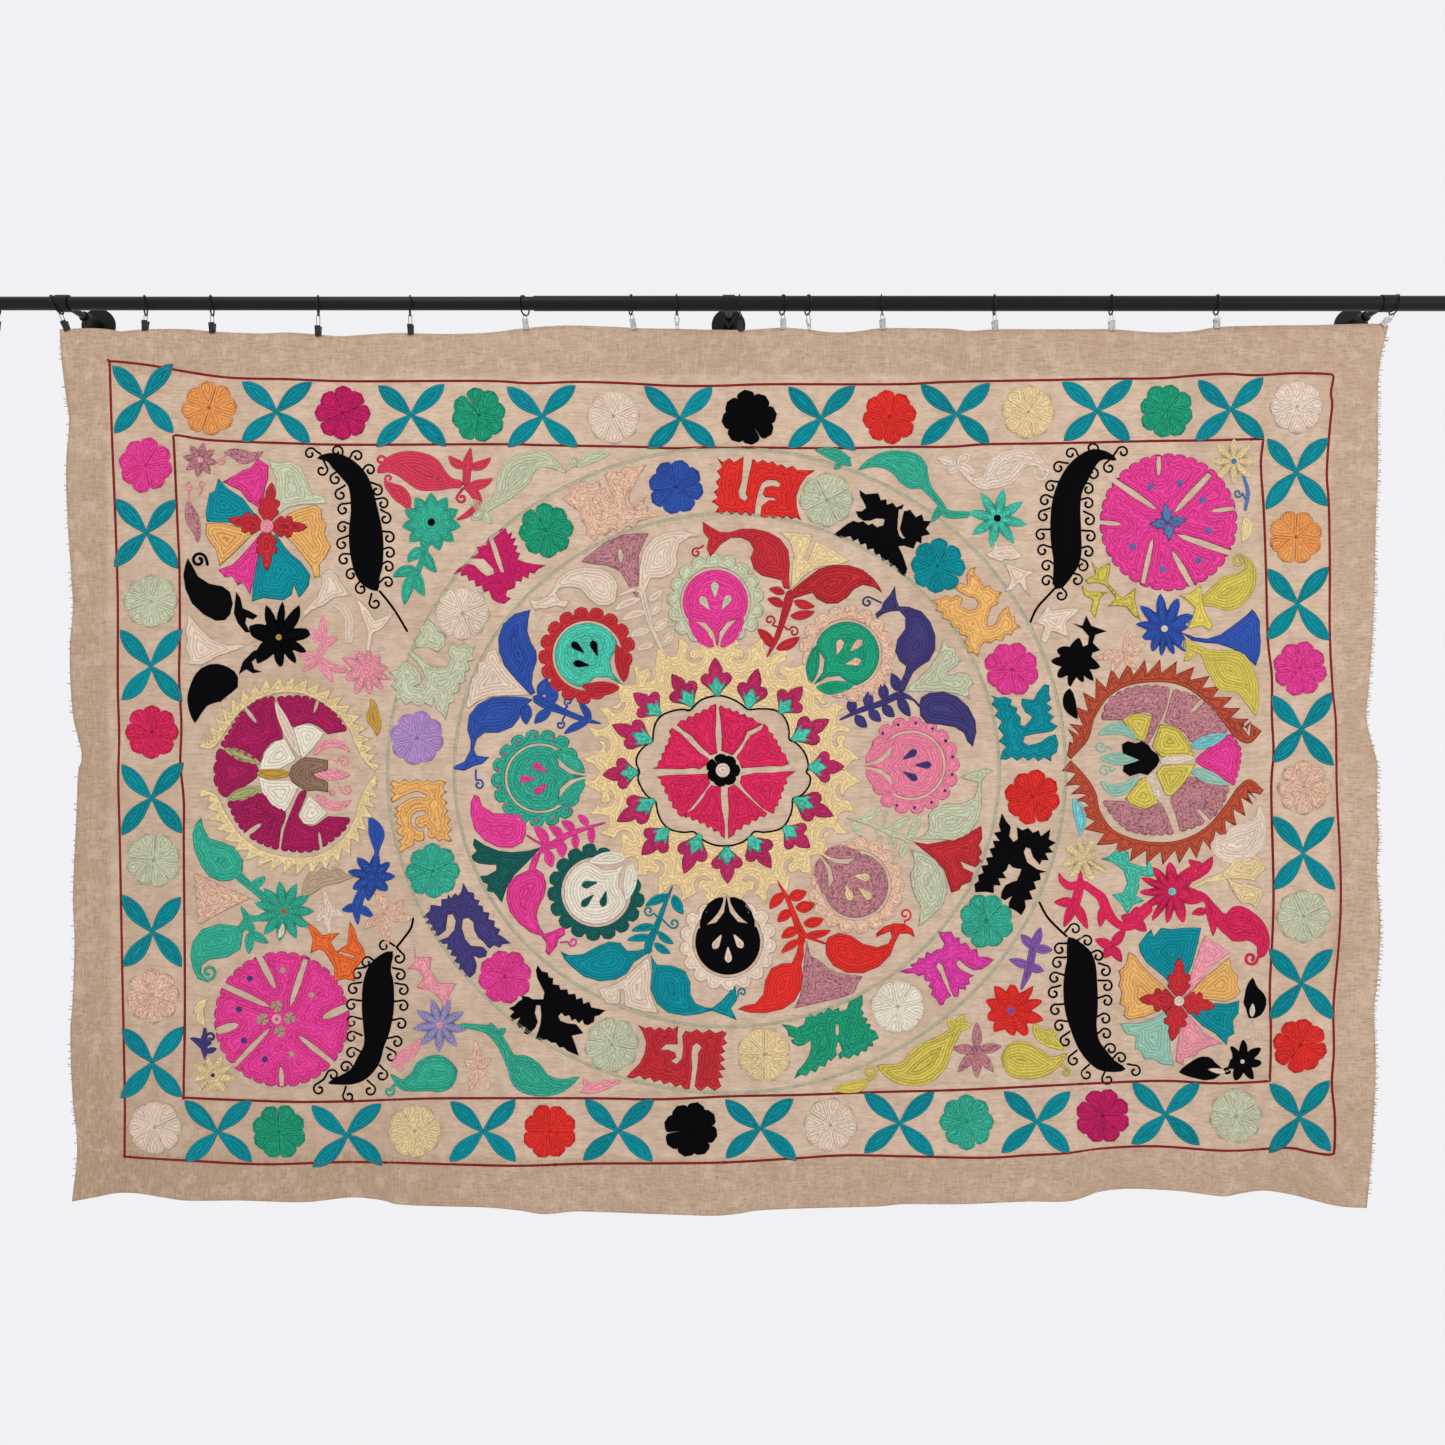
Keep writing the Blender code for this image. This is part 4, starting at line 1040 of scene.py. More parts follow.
def great_ring():
    for across, down in RING_RADII:
        for gap in (-1.0, 1.0):
            line = []
            for k in range(48):
                angle = 2 * math.pi * k / 48
                line.append((RING_CENTRE[0] + (across + gap) * math.cos(angle),
                             RING_CENTRE[1] + (down + gap) * math.sin(angle)))
            main_line("mint", line, 0.55)
    for thread, x, y in RING_ROSETTES:
        rosette(thread, x, y, 29.0, rng.uniform(0, 45))
    for thread, outline, slits in RING_COMBS:
        patch(thread, outline, slits=slits)


MEDALLION_LINE = walk(690, 710, 10, -9.5, 10.5, -4, 11, -1, 11.5, 3.5, 8.5, 5, 6.5, 5, 11, -0.5, 12, 0.5,
        9.5, 3.5, 6.5, 9, 2.5, 10, 0, 7.5, 7, 4, 7, 7.5, 4, 8.5, 1, 8, -2, 5, 4, 4.5, -1, 8.5, -6, 8.5,
        -6, 3.5, -4.5, 1.5, -0.5, 9, -3, 10, -6, 9, -8.5, 4, -11, 1.5, -9.5, -0.5, -4.5, 5, -8.5, 6,
        -12, 3, -14, -0.5, -12, -5, -6, -5.5, -4, -3, -10.5, 0.5, -12, -2.5, -8, -6.5, -4.5, -9, -2, -8.5,
        -1, -4.5, -8, -5, -6, -8.5, -3.5, -9.5, 1.5, -6.5, -3, -8, 1, -8, 6, -8.5, 8, -5.5, 1.5, -1.5,
        0.5, -8.5, 3, -10, 6.5, -7, 10.5, -4, 10.5, -1.5)
MEDALLION_SECTORS = (
    walk(721.5, 750.5, 0.5, -13.5, -1, -14, -2, -15.5, 2, -2.5, 5, 3.5, 4, -1, 3, 4, 4.5, -1, 3, 4,
            4.5, -1, 3, 4, 4.5, -0.5, 3.5, 4.5, 7, 2.5, -7.5, 4, -8, 3.5, -3.5, 8.5, -6, 9, -5, 6, -5, -2),
    walk(764, 723, 4, 3.5, 1, 5, 4, 2, 0.5, 4, 4, 2.5, 0, 4.5, 3.5, 2.5, 0.5, 4.5, 4.5, 3, 0.5, 4, 3, 5,
            -6.5, 2.5, -14, 0, -13.5, 1, -14, 1, -1.5, -5.5, -3.5, -6, 6, -7.5, 3.5, -7, 5, -7, 11, -6),
    walk(796, 771, -6.5, 4.5, -3, 2.5, 1, 5.5, -4, 1.5, 1, 5, -3.5, 2.5, 1, 5.5, -3.5, 1.5, 0, 5.5,
            -3, 1.5, -1.5, 7, -5, -2, -7, -4, -8.5, -8.5, -8.5, -9, -5, -7.5, 1.5, -7, 14, -3, 17, 0,
            12, -1.5),
    walk(767.5, 813, -2.5, 4, -5.5, -1, -3, 5, -4.5, -1, -2.5, 5, -5.5, -1, -2.5, 5.5, -5, -0.5, -2.5, 6,
            -5.5, 3.5, -0.5, -15.5, 1, -14, -1, -13.5, 0, -8, 6.5, -3.5, 5.5, 4.5, 8.5, 8.5, 9.5, 8.5),
    walk(725, 838.5, -3.5, -2.5, -2.5, -5.5, -5, 1, -2, -5, -5, 1, -2, -5, -5, 1, -2.5, -4.5, -5, 1.5,
            -2.5, -4, -5.5, 1, -0.5, -3.5, 9.5, -5, 8.5, -10, 5, -9, 4.5, -5, 9.5, 1.5, 0, 9, 1, 13.5,
            3, 14),
    walk(682, 817, -4, -3, -1, -5, -4.5, -1.5, 0, -5.5, -4, -2, 0, -5.5, -4, -2.5, 0.5, -5.5, -4, -2.5,
            0, -5, -4.5, -2.5, 9.5, -1.5, 13.5, -0.5, 14, -0.5, 13.5, -0.5, 3.5, 9, -5, 7.5, -7, 9,
            -7, 8.5),
    walk(652.5, 768.5, 5.5, -2.5, 0.5, -5, 3.5, -2, -0.5, -5.5, 3.5, -2, 0, -5.5, 3.5, -2.5, 0, -5,
            3, -2.5, -2.5, -4.5, 3, -4, 2.5, 1.5, 7, 4.5, 8.5, 9, 10, 10, 9, 5.5, -2, 6.5, -7, 4.5,
            -6.5, -1.5, -10.5, 1.5, -14, -0.5),
    walk(677, 724.5, 4.5, -5, 4.5, 1, 2.5, -4.5, 5, 0.5, 2.5, -4, 4.5, 0.5, 3, -4, 4.5, 0.5, 2.5, -4,
            6, -2, 0, 16, -1, 14, 1, 10, 1, 9.5, -7, 2, -10.5, -9.5, -8.5, -10, -8.5, -5.5),
)
MEDALLION_BUDS = (
    # base and tip
    (717.5, 696, 715, 657), (748, 708.5, 758, 668), (779.5, 713, 803, 686), (792, 740, 830, 719),
    (808.5, 767, 845, 766.5), (793.5, 798.5, 834, 816), (783.5, 826.5, 810.5, 847.5),
    (749.5, 836, 771.5, 868), (726.5, 846, 728, 883.5), (700, 834, 684, 873.5), (668.5, 828, 641.5, 855),
    (655, 799.5, 616.5, 821.5), (638.5, 772, 602.5, 774.5), (652.5, 742, 612, 724.5),
    (660.5, 714.5, 633.5, 692.5), (693, 706, 672, 673.5),
)
SCROLLS = (
    (845, 791), (828.5, 836.5), (793, 867.5), (749.5, 885), (703.5, 885), (655.5, 868.5), (624.5, 839),
    (605.5, 798), (601, 745.5), (616.5, 704), (647, 673), (695, 654), (739, 654), (784.5, 670.5),
    (824, 699), (841.5, 740),
)


def medallion():
    centre_x, centre_y = 723.0, 770.0

    def at(angle, radius):
        angle = math.radians(angle)
        return centre_x + radius * math.cos(angle), centre_y + radius * math.sin(angle)

    # the pale scrolls round the medallion, between its black line and the pomegranates
    edge = []
    for k in range(32):
        lean = 0.12 if k % 2 else -0.12
        tip = 141 + rng.uniform(-4, 5)
        for share, radius in ((0.0, 123), (0.22, 130), (0.5 + lean, tip), (0.62, 130), (0.8, 125)):
            edge.append(at((k + share) * 11.25, radius))
    openings = []
    for k, (x, y) in enumerate(SCROLLS):
        start = math.atan2(y - centre_y, x - centre_x) + (2.4 if k % 2 else -0.6)
        arc = [start + math.radians(t) for t in range(0, 261, 20)]
        hook = [(x + 9 * math.cos(t), y + 9 * math.sin(t)) for t in arc]
        hook += [(x + 5.6 * math.cos(t), y + 5.6 * math.sin(t)) for t in arc[-2::-1]]
        openings.append(hook)
    line = smooth_line([(x, y, 0) for x, y in MEDALLION_LINE], 3.0, True)[:-1, :2]
    first = np.argmax(line[:, 0] - abs(line[:, 1] - centre_y))
    inner = [tuple(point) for point in np.roll(line, -first, axis=0)]
    patch("straw", edge + [edge[0]] + [inner[0]] + inner[::-1], -0.35, slits=openings)
    ribbon("black", [(x, y, 0.75) for x, y in MEDALLION_LINE], step=2.0, closed=True, lift=0.5)
    for sector in MEDALLION_SECTORS:
        patch("crimson", sector)
    bud = ((0, -2), (5, -5), (10, -10), (14, -14.5), (18, -16), (22, -14.5), (24, -11), (23.5, -7),
           (28, -7), (33, -5), (37, -2.6), (40, 0))
    heart = ((0, -2.2), (6, -5), (10, -8), (15, -9), (12, -4.6), (16, -3.4), (21, 0))
    for x0, y0, x1, y1 in MEDALLION_BUDS:
        length = math.hypot(x1 - x0, y1 - y0)
        ahead = np.array((x1 - x0, y1 - y0)) / length
        across = np.array((-ahead[1], ahead[0]))
        for thread, shape, lift in (("plum", bud, 0.5), ("turquoise", heart, 1.1)):
            middle = [np.array((x0, y0)) + ahead * forward * length / 40 for forward, side in shape]
            half = [spot + across * side for spot, (forward, side) in zip(middle, shape)]
            back = [spot - across * side for spot, (forward, side) in zip(middle, shape)]
            patch(thread, half + back[-2::-1], lift)
    rosette("black", centre_x, centre_y, 18, 0, 7)
    disc("cream", centre_x, centre_y, 7.5, 0.8)


FRUIT_AIM = (723, 769)
POMEGRANATES = (
    # column, row, disc, ring, seeds, leaves, dots on the ring
    (715.6, 602, "pink", "mint", "mint", "pink", None),
    (587.6, 655.4, "turquoise", "brick", "black", "brick", None),
    (540, 778, "jade", "jade", "pink", "jade", "pink"),
    (596.5, 891.7, "ivory", "bottle", "bottle", "ivory", None),
    (728, 942, "black", "cream", "cream", "black", None),
    (856, 885, "mauve", "apricot", "corn", "mauve", None),
    (911, 765, "candy", "candy", "navy", "candy", "navy"),
    (847, 654, "green", "apricot", "apricot", "green", None),
)


def pomegranate(x, y, flesh, rind, seeds, leaves, dots):
    """A round fruit that points at the medallion, with a leafy rind, three seeds and two leaves."""
    inward = math.atan2(FRUIT_AIM[1] - y, FRUIT_AIM[0] - x)

    def at(forward, aside):
        return (x + forward * math.cos(inward) - aside * math.sin(inward),
                y + forward * math.sin(inward) + aside * math.cos(inward))

    line = [at(35 * math.cos(a), 35 * math.sin(a)) for a in np.radians(np.arange(24, 337, 12))]
    band(rind, line, 7.5, 15, 6.5, shape=LOBE, step=3.0)
    if dots:
        for a in np.radians(np.arange(50, 312, 24)):
            disc(dots, *at(42.5 * math.cos(a), 42.5 * math.sin(a)), 1.9, 0.7)
    fruit = [at(32.5 * math.cos(a), 32.5 * math.sin(a)) for a in np.radians(np.arange(64, 297, 8))]
    fruit += [at(18, -22), at(20, -11), at(30, -3), at(47, 0), at(30, 3), at(20, 11), at(18, 22)]
    patch(flesh, fruit)
    for side in (-1, 1):
        leaf(leaves, *at(45, 3 * side), *at(14, 27 * side), 6.6, -0.06 * side, lift=0.3)
    for forward, aside, lean in ((-12, 0, 0.0), (0, -10, -0.55), (0, 10, 0.55)):
        foot = at(forward + 8, aside * 0.6)
        tip = at(forward + 8 - 17 * math.cos(lean), aside * 0.6 + 17 * math.sin(lean))
        ribbon(seeds, [(*foot, 0.3), (*mix(np.array(foot), np.array(tip), 0.4), 2.6),
                       (*mix(np.array(foot), np.array(tip), 0.75), 4.0), (*tip, 0.8)], step=1.8, lift=0.6)


SPRAYS = (
    # thread, its two long leaves, the fan's thread and outline, slits in the fan, stem, leaves, curls
    ("cream", (
        walk(639, 596, 0, -18, 1, -14, 3.5, -14, 9, -11.5, 11.5, -6, 18.5, -2.5, 20.5, 6.5, -13.5, 1,
                -9.5, 6, -3.5, 11.5, 1.5, 9, -5, 9, -11.5, 5, -10, 0, -4.5, 9, -3.5, 9),
        walk(617, 596, 1, -11.5, -4.5, -9, -11.5, -7, -16, -2, -16, 3, -11.5, 8.5, -6, 12.5, -5.5, 5.5,
                -9, 4.5, -9.5, -2, 3.5, 7, 3.5, 5.5, 4.5, -2.5, 7, 0, 9, -3, 9.5, 3, 4.5, -8, -9.5, -1,
                -4.5, -5.5, 4.5, -6, 11.5, -1, 9.5, 2, 7, 9.5, 9, 7, 11.5, 0, 7, -5),
    ), "mauve", walk(637.5, 598.5, -8, -11.5, -9, -16, -14, -6, -13.5, -1, -11.5, -2.5, 4.5, -4.5,
            11.5, -9, 9, -7, 11.5, -5.5, 16, -2.5, 15, 0, -5.5, 10.5, -4.5, 11.5, 0, 13.5, -0.5, 16), (
        ((618, 550), (621, 547), (624, 555), (621.5, 564), (618.5, 558)),
    ), (
        (667.5, 658, 0.5), (659.5, 644.5, 2), (650.5, 623.5, 2.5), (645.5, 605.5, 3), (639, 589, 3),
        (617, 596, 1),
    ), (
        (648, 600.5, 663, 589, 3), (649, 614.5, 661.5, 600.5, 4), (653.5, 630.5, 667.5, 617, 4),
        (659.5, 646.5, 674.5, 628.5, 3.5), (642, 598.5, 613.5, 611, 3), (647, 612, 621.5, 620, 3),
        (650.5, 630.5, 629.5, 636.5, 3), (655, 644.5, 636.5, 650, 3),
    ), (
        (539, 622.5, 5.5, 535.5, 611, -100, 1.2),
    )),
    ("brick", (
        walk(730, 532, 11.5, -3.5, 13.5, 0, 14, 3.5, 11.5, 6.5, 8, 11.5, 1.5, 14, -1, 14, 1, 11, -6, -1,
                -2.5, -8, -8, -2, -11.5, -2.5, -8, -7, -3.5, -10.5, 3.5, -9, -4.5, -8, -8, -3.5, -10.5, 0,
                -10.5, 7, -10, 12.5, -3.5, -9, 2, -9.5, -5.5, -6.5, -0.5, -10.5, 8.5, 5.5, 9, 5),
        walk(793, 589, 8, -6.5, 9, -7, 9.5, -7, 13.5, -4, 16, 0.5, 14, 4.5, 10.5, 8.5, 6.5, 9, 2.5, 5.5,
                -8, -5.5, -11.5, -2.5, -9, 4.5, -7, 8.5, -9, 5.5, -11.5, 0.5, -9.5, -5, -4.5, -6,
                -11.5, 3.5, -8, 2.5),
    ), "corn", walk(779, 532, 13, 0, 11.5, 2, 10, 0, 3.5, 7, 21, 11.5, 12.5, 8, -12.5, 4.5, -16.5, 1.5,
            -13.5, 6.5, -9.5, 9.5, -8, 6.5, 1.5, -16, 2, -18, -4.5, -14), (
        walk(813.5, 533, 4, 3.5, -4, 9, -3.5, 9.5, -2, 6.5, -3, -3.5, 3.5, -10),
    ), (
        (766.5, 658, 0.5), (776, 639.5, 2.5), (782.5, 621.5, 3), (788.5, 600.5, 4.5), (791.5, 589, 3),
    ), (
        (794, 600.5, 815, 606, 3.5), (790.5, 615.5, 815, 611, 3.5), (784, 606.5, 767.5, 598.5, 3.5),
        (785, 593.5, 769, 589, 3), (773.5, 648, 757.5, 628.5, 4), (776, 648.5, 800, 636.5, 4),
    ), (
        (770, 620, 5.5, 779, 627, 60, -1.2), (794, 631.5, 5.5, 781, 623.5, 200, 1.2),
        (696.5, 552.5, 5, 704.5, 544.5, -60, -1.2),
    )),
    ("navy", (
        walk(895, 586, 1.5, 12.5, 2.5, 7.5, 10, 0.5, 12.5, 4.5, 9, 10.5, 5, 13.5, 0, 14, -6, 11.5,
                -9, 5.5, -7, 6, -4.5, 9, -4.5, 9.5, -5, 3, -1, -8, 6, -11.5, 2, -8, -7, -5.5, -4, -9.5,
                2, -11.5, 8, -11, 0, -11.5, -6, -6.5, -8, 0.5, -8, 2.5, -6.5, 4.5, -1.5, -4.5, 6, -5,
                2, -6.5, 7, -8),
        walk(919.5, 704, 2, -7, 8, -4.5, 14, -1, 13.5, 4.5, 11.5, 10.5, 7, 13.5, 1, 11.5, -3.5, 15,
                -5.5, -5.5, -3.5, -8.5, -9, -5.5, -14, -2.5, -13.5, -1, -7, -8),
    ), "mint", walk(903, 691.5, 15, -12.5, 11.5, -11.5, 9.5, -14, 4.5, -14, 4.5, 7, 7, 1.5, 1, 6.5,
            5.5, 6, -4.5, 5.5, -10, 6, 2, 3.5, 10.5, -3.5, 9, 2, 6, 9.5, -6, 4.5, 2.5, 11.5, -9.5, -4.5,
            -18, -3.5, -18.5, 0), (), (
        (839, 720, 0.5), (860.5, 710, 2.5), (881.5, 703, 3), (899.5, 695, 3.5), (913.5, 699.5, 1),
        (920.5, 707.5, 1),
    ), (
        (897.5, 691.5, 891.5, 673, 4), (883.5, 700.5, 881.5, 682, 4), (866.5, 707.5, 868.5, 690.5, 4),
        (851.5, 713, 850.5, 697, 4), (899.5, 695, 911, 716.5, 4), (883.5, 704, 895, 716.5, 4),
        (870, 708.5, 881.5, 721, 4), (856, 714.5, 867.5, 727, 4),
    ), (
        (867.5, 602, 5.5, 882.5, 603, -60, -1.2),
    )),
    ("mint", (
        walk(913.5, 839, 11.5, -4.5, 4.5, -8, -1.5, -11.5, 6.5, -8, 11.5, -3.5, 16, 0, 11.5, -5.5,
                4.5, -10.5, 0, -5.5, -11.5, -2.5, -7, -2.5, 7, -3, 9, -3.5, 11.5, -2.5, 7, 2.5, -7, 3.5,
                -5, 6.5, 0, 23, -3, 16, -10, 14, -14, 7, -18.5, -1.5),
        walk(910, 848.5, 10.5, 3.5, 14, 6.5, 10, 14, 3, 16, -4, 16, -11.5, 11.5, -9, 8, -4.5, 2.5, 1, -8,
                2, -11.5, -5.5, -9, -4.5, -11.5, -1.5, -11.5, 5, -9.5, -1.5, -9),
    ), "brick", walk(913.5, 841.5, 14, 2.5, 18.5, -3.5, 18, -6, 9.5, -4.5, 8, -4.5, 1, 12.5, -3.5, 7,
            3.5, 7, -3.5, 5.5, 3.5, 3.5, -7, 6, -9, -3.5, -6, -2.5, 3.5, 7, 9.5, 4.5, -2.5, 9, -9, 3.5,
            -2.5, 4.5, -8, 3, -3.5, -11, -3.5, -11.5, -10, -11.5, -11.5, -9), (), (
        (846, 817.5, 0.5), (868, 823, 2), (890.5, 832.5, 2.5), (913.5, 841.5, 3),
    ), (
        (861, 820, 881.5, 807, 3), (888.5, 830, 910, 815, 3.5), (908, 839, 919.5, 813, 3.5),
        (890.5, 833.5, 896, 848.5, 3), (907, 842.5, 901, 858.5, 3), (854, 820, 862, 836, 3),
    ), (
        (886, 814, 4, 882.5, 826.5, 100, 1.2), (879, 839, 4, 874.5, 827.5, -100, 1.2),
    )),
    ("red", (
        walk(803.5, 941.5, 0.5, 13.5, -2.5, 9.5, 1.5, 11.5, -2, 13.5, -6.5, 11.5, -11.5, 8, -16.5, 3.5,
                -16, 0, -12.5, -3.5, 6, -3.5, 11.5, -2, 8, -9.5, 2, -13.5, 6, -12.5, 11.5, -5, 9, 0,
                4.5, -10, 2.5, -9.5),
        walk(825.5, 943.5, 3, -6.5, 10.5, -4.5, 12.5, 3, 11.5, 8, 14, 3.5, 11.5, -3.5, 3.5, -6.5,
                -1.5, -6, -9, 3.5, -4.5, 2.5, -1, -3.5, 8, -7, 10, -3.5, 10.5, 0.5, 8, 5, 2.5, 8.5,
                -6, -3.5, -9, 0, -4.5, 8, -5, 13.5, -11.5, 11.5, -16, 6.5, -16, -0.5, -13.5, -7,
                -7, -10.5),
    ), "mauve", walk(807, 940, 3.5, 15, 11.5, 7, 6.5, 6, 9.5, 4.5, 11.5, 2, 13.5, 1.5, -4.5, 6.5,
            -3.5, 9.5, -10, 4.5, -18.5, 4.5, -16, 3.5, -16, 3.5, 4.5, -9, 3.5, -14, 1.5, -23), (), (
        (777, 879.5, 0.5), (787.5, 898, 2), (795.5, 918.5, 3), (801, 932, 4), (809, 937, 1.5),
        (826.5, 943.5, 1),
    ), (
        (788.5, 896.5, 807, 891, 4.5), (795.5, 907, 815, 903.5, 4.5), (803.5, 923, 824, 918.5, 4),
        (806, 934.5, 831, 930, 3), (785, 893, 770, 909, 4), (792, 910.5, 778, 922, 4),
        (799, 928.5, 781.5, 938, 4), (801, 940, 781.5, 953, 3), (801.5, 934.5, 803, 946, 3),
    ), (
        (905.5, 914, 6.5, 904.5, 923.5, 90, -1.2),
    )),
    ("teal", (
        walk(560.5, 951, 9, 4, 14, -1, 14, -8, 11.5, -4.5, 11.5, 1, 6.5, 8, 9.5, 0, 9, -2, 2.5, 4.5,
                -14, 9, -7, 11.5, -11.5, 6, -16, 1.5, -16, -5, -11.5, -9.5, -7, -7),
        walk(651, 955, 6, 9.5, 16, 1, 12.5, 5.5, 5, 11.5, 0, 11.5, 5.5, 9.5, 9, 3.5, 7, 1, 9.5, -7,
                14, -16, 1.5, 15, -6, 8, 6, 12, -9, -4, -16, -5.5, -11.5, 3, -16, 2, -16, -3, -11.5, -9,
                -6, -14, 1.5, -18.5),
    ), "cream", walk(649, 955, -12.5, 11.5, -11.5, 11.5, -14, 8, -13.5, 2.5, 4.5, 8, 4.5, 7, 14, 1,
            22.5, 7, 16.5, 2, -5, -10, -4, -14, 1.5, -16), (
        walk(619, 1008, 1.5, -8, 0, -10.5, 3, 0, 2, 10.5, -2, 8),
    ), (
        (673, 885, 0.5), (664, 907, 2), (657, 925.5, 3), (649, 943.5, 4), (649, 954, 3),
    ), (
        (671, 895.5, 645.5, 906, 3.5), (674, 894.5, 683.5, 914, 4), (656, 926.5, 631.5, 931, 3),
        (653.5, 938, 627, 940, 3), (658, 931, 674, 943.5, 3), (654.5, 942.5, 671, 953, 3),
    ), (
        (649, 910.5, 5.5, 659.5, 918.5, 30, 1.2), (674, 923, 5.5, 662, 918.5, 150, -1.2),
        (742.5, 992, 4.5, 735.5, 999, 150, 1.2),
    )),
    ("pink", (
        walk(474.5, 794.5, 4.5, 2, 3.5, 9.5, 11.5, 7, 14, 0.5, 11, 1.5, 7, 8, 0, 10.5, -3.5, 9, -10, 5,
                -14, -0.5, -13.5, -6.5, -10.5, -11.5, -4, -16, 0.5, -11.5),
        walk(541, 852, -2.5, 9, -3, 7, 8, 5.5, 3, 10.5, -2, 11.5, -6, 11.5, -2, 9, 3.5, 11.5, 4.5, 6,
                9, -2.5, 7, -3.5, 4.5, -1, 0, 8, -6.5, 4.5, -1.5, 7, -8, 9, -3.5, -3.5, 1.5, -8, -6, -8,
                -10.5, -3.5, -11.5, -9, -9, -11.5, -3.5, -13.5, 1.5, -14, 9, -9, 11.5, -5, 2, -6.5,
                3.5, -9.5),
    ), "bottle", walk(541, 847, -12.5, 3.5, -16, 1.5, -14, -1.5, -13.5, -5.5, -10.5, -7, -1.5, 7, 4, 5.5,
            -6, 6, 3.5, 4.5, 5.5, 2.5, 9.5, 1, 7, 0, 0, 5.5, -8.5, 5, -8, 1, 2.5, 5.5, 5.5, 2.5, -1, 7,
            7, 1, 8, 10.5, 4.5, -14, 8, -13.5, 14, -14), (), (
        (606.5, 822, 0.5), (583.5, 829, 2), (565, 836, 3), (551.5, 845, 4), (537.5, 841.5, 1),
        (526, 834.5, 1),
    ), (
        (563, 838, 549, 825.5, 3.5), (574.5, 830.5, 561.5, 821, 3.5), (588, 825.5, 578, 814.5, 3),
        (548, 844, 534, 825.5, 4), (592.5, 826.5, 592.5, 844, 3), (576.5, 833.5, 576.5, 849.5, 3),
        (563, 840.5, 563, 857.5, 4), (549, 849.5, 552.5, 867, 4), (550, 846, 538.5, 853, 3),
    ), (
        (573, 941.5, 5, 559.5, 942.5, 180, -1.2),
    )),
    ("blue", (
        walk(530.5, 609.5, -2, 9.5, -1, 11.5, 3.5, 11.5, 5.5, 9, 0.5, 9.5, -4, 11.5, -1, 11.5, 3.5, 9,
                -4.5, 2.5, -6, -6, -10, -10, -10.5, -14, -5.5, -14, -0.5, -13.5, 5, -14, 11.5, -10),
        walk(533, 699.5, -9, -2.5, -16, -1, -16, 1, -14, 7, -9, 11.5, -1.5, 14, 3.5, 11.5, -0.5, 9,
                -6, 11.5, -10.5, 4.5, 0, 3, 10.5, 1.5, 9, -4.5, 9, -2.5, 7, -6.5, -12.5, -1.5, -3, -6.5,
                3, -10.5, 8, -6, 13.5, 0, 14, -5.5, 7, -9, 2, -9.5),
    ), "cream", walk(532, 695, -10.5, -11.5, -11.5, -11.5, -9, -11.5, -4.5, -11.5, -9.5, 2, -2, 9.5,
            -7, 2, 0, 9.5, -7, 7, -2, 13.5, -3.5, 14, 3.5, 2, 9, -7, 14, -5, 16, -1), (), (
        (602, 723.5, 0.5), (583.5, 719, 2.5), (565.5, 712, 3), (547, 704, 5), (533, 696, 4.5),
    ), (
        (538, 695, 547, 677.5, 4.5), (552.5, 704, 549, 684.5, 5), (528.5, 704, 526.5, 724.5, 4.5),
        (551.5, 710, 534.5, 723.5, 4), (590.5, 721, 579, 701.5, 3), (588.5, 722, 564, 734, 3),
    ), (
        (568.5, 701.5, 4.5, 562, 711, 100, 1.2), (560.5, 724.5, 4.5, 565.5, 714.5, -60, 1.2),
        (479, 784.5, 5.5, 476, 768.5, -120, 1.2),
    )),
)


def inner_sprays():
    for thread, long_leaves, fan_thread, fan_edge, slits, stem, leaves, curls in SPRAYS:
        patch(fan_thread, fan_edge, slits=slits)
        for outline in long_leaves:
            patch(thread, outline, 0.2)
        ribbon(thread, stem, lift=0.2)
        for x0, y0, x1, y1, half in leaves:
            leaf(thread, x0, y0, x1, y1, half * 1.3, 0.06)
        for x, y, radius, stem_x, stem_y, start, turns in curls:
            curl(thread, x, y, radius, start, turns, 0.9, stem=(stem_x, stem_y))


def pepper(spine, curls, stem):
    """A black pepper pod with its stem, and curls all along both sides."""
    ribbon("black", spine)
    ribbon("black", [(x, y, 1.2) for x, y in stem])
    table = np.array(spine, float)
    for x, y in curls:
        near = np.argmin(np.hypot(table[:, 0] - x, table[:, 1] - y))
        toward = math.atan2(table[near, 1] - y, table[near, 0] - x)
        side = 1 if (table[near, 0] - x) < 0 else -1
        lean = toward + 0.5 * side
        root = (x + 11.5 * math.cos(lean), y + 11.5 * math.sin(lean))
        curl("black", x, y, 6.4, math.degrees(toward) + 62 * side, 1.12 * side, 1.0, stem=root)


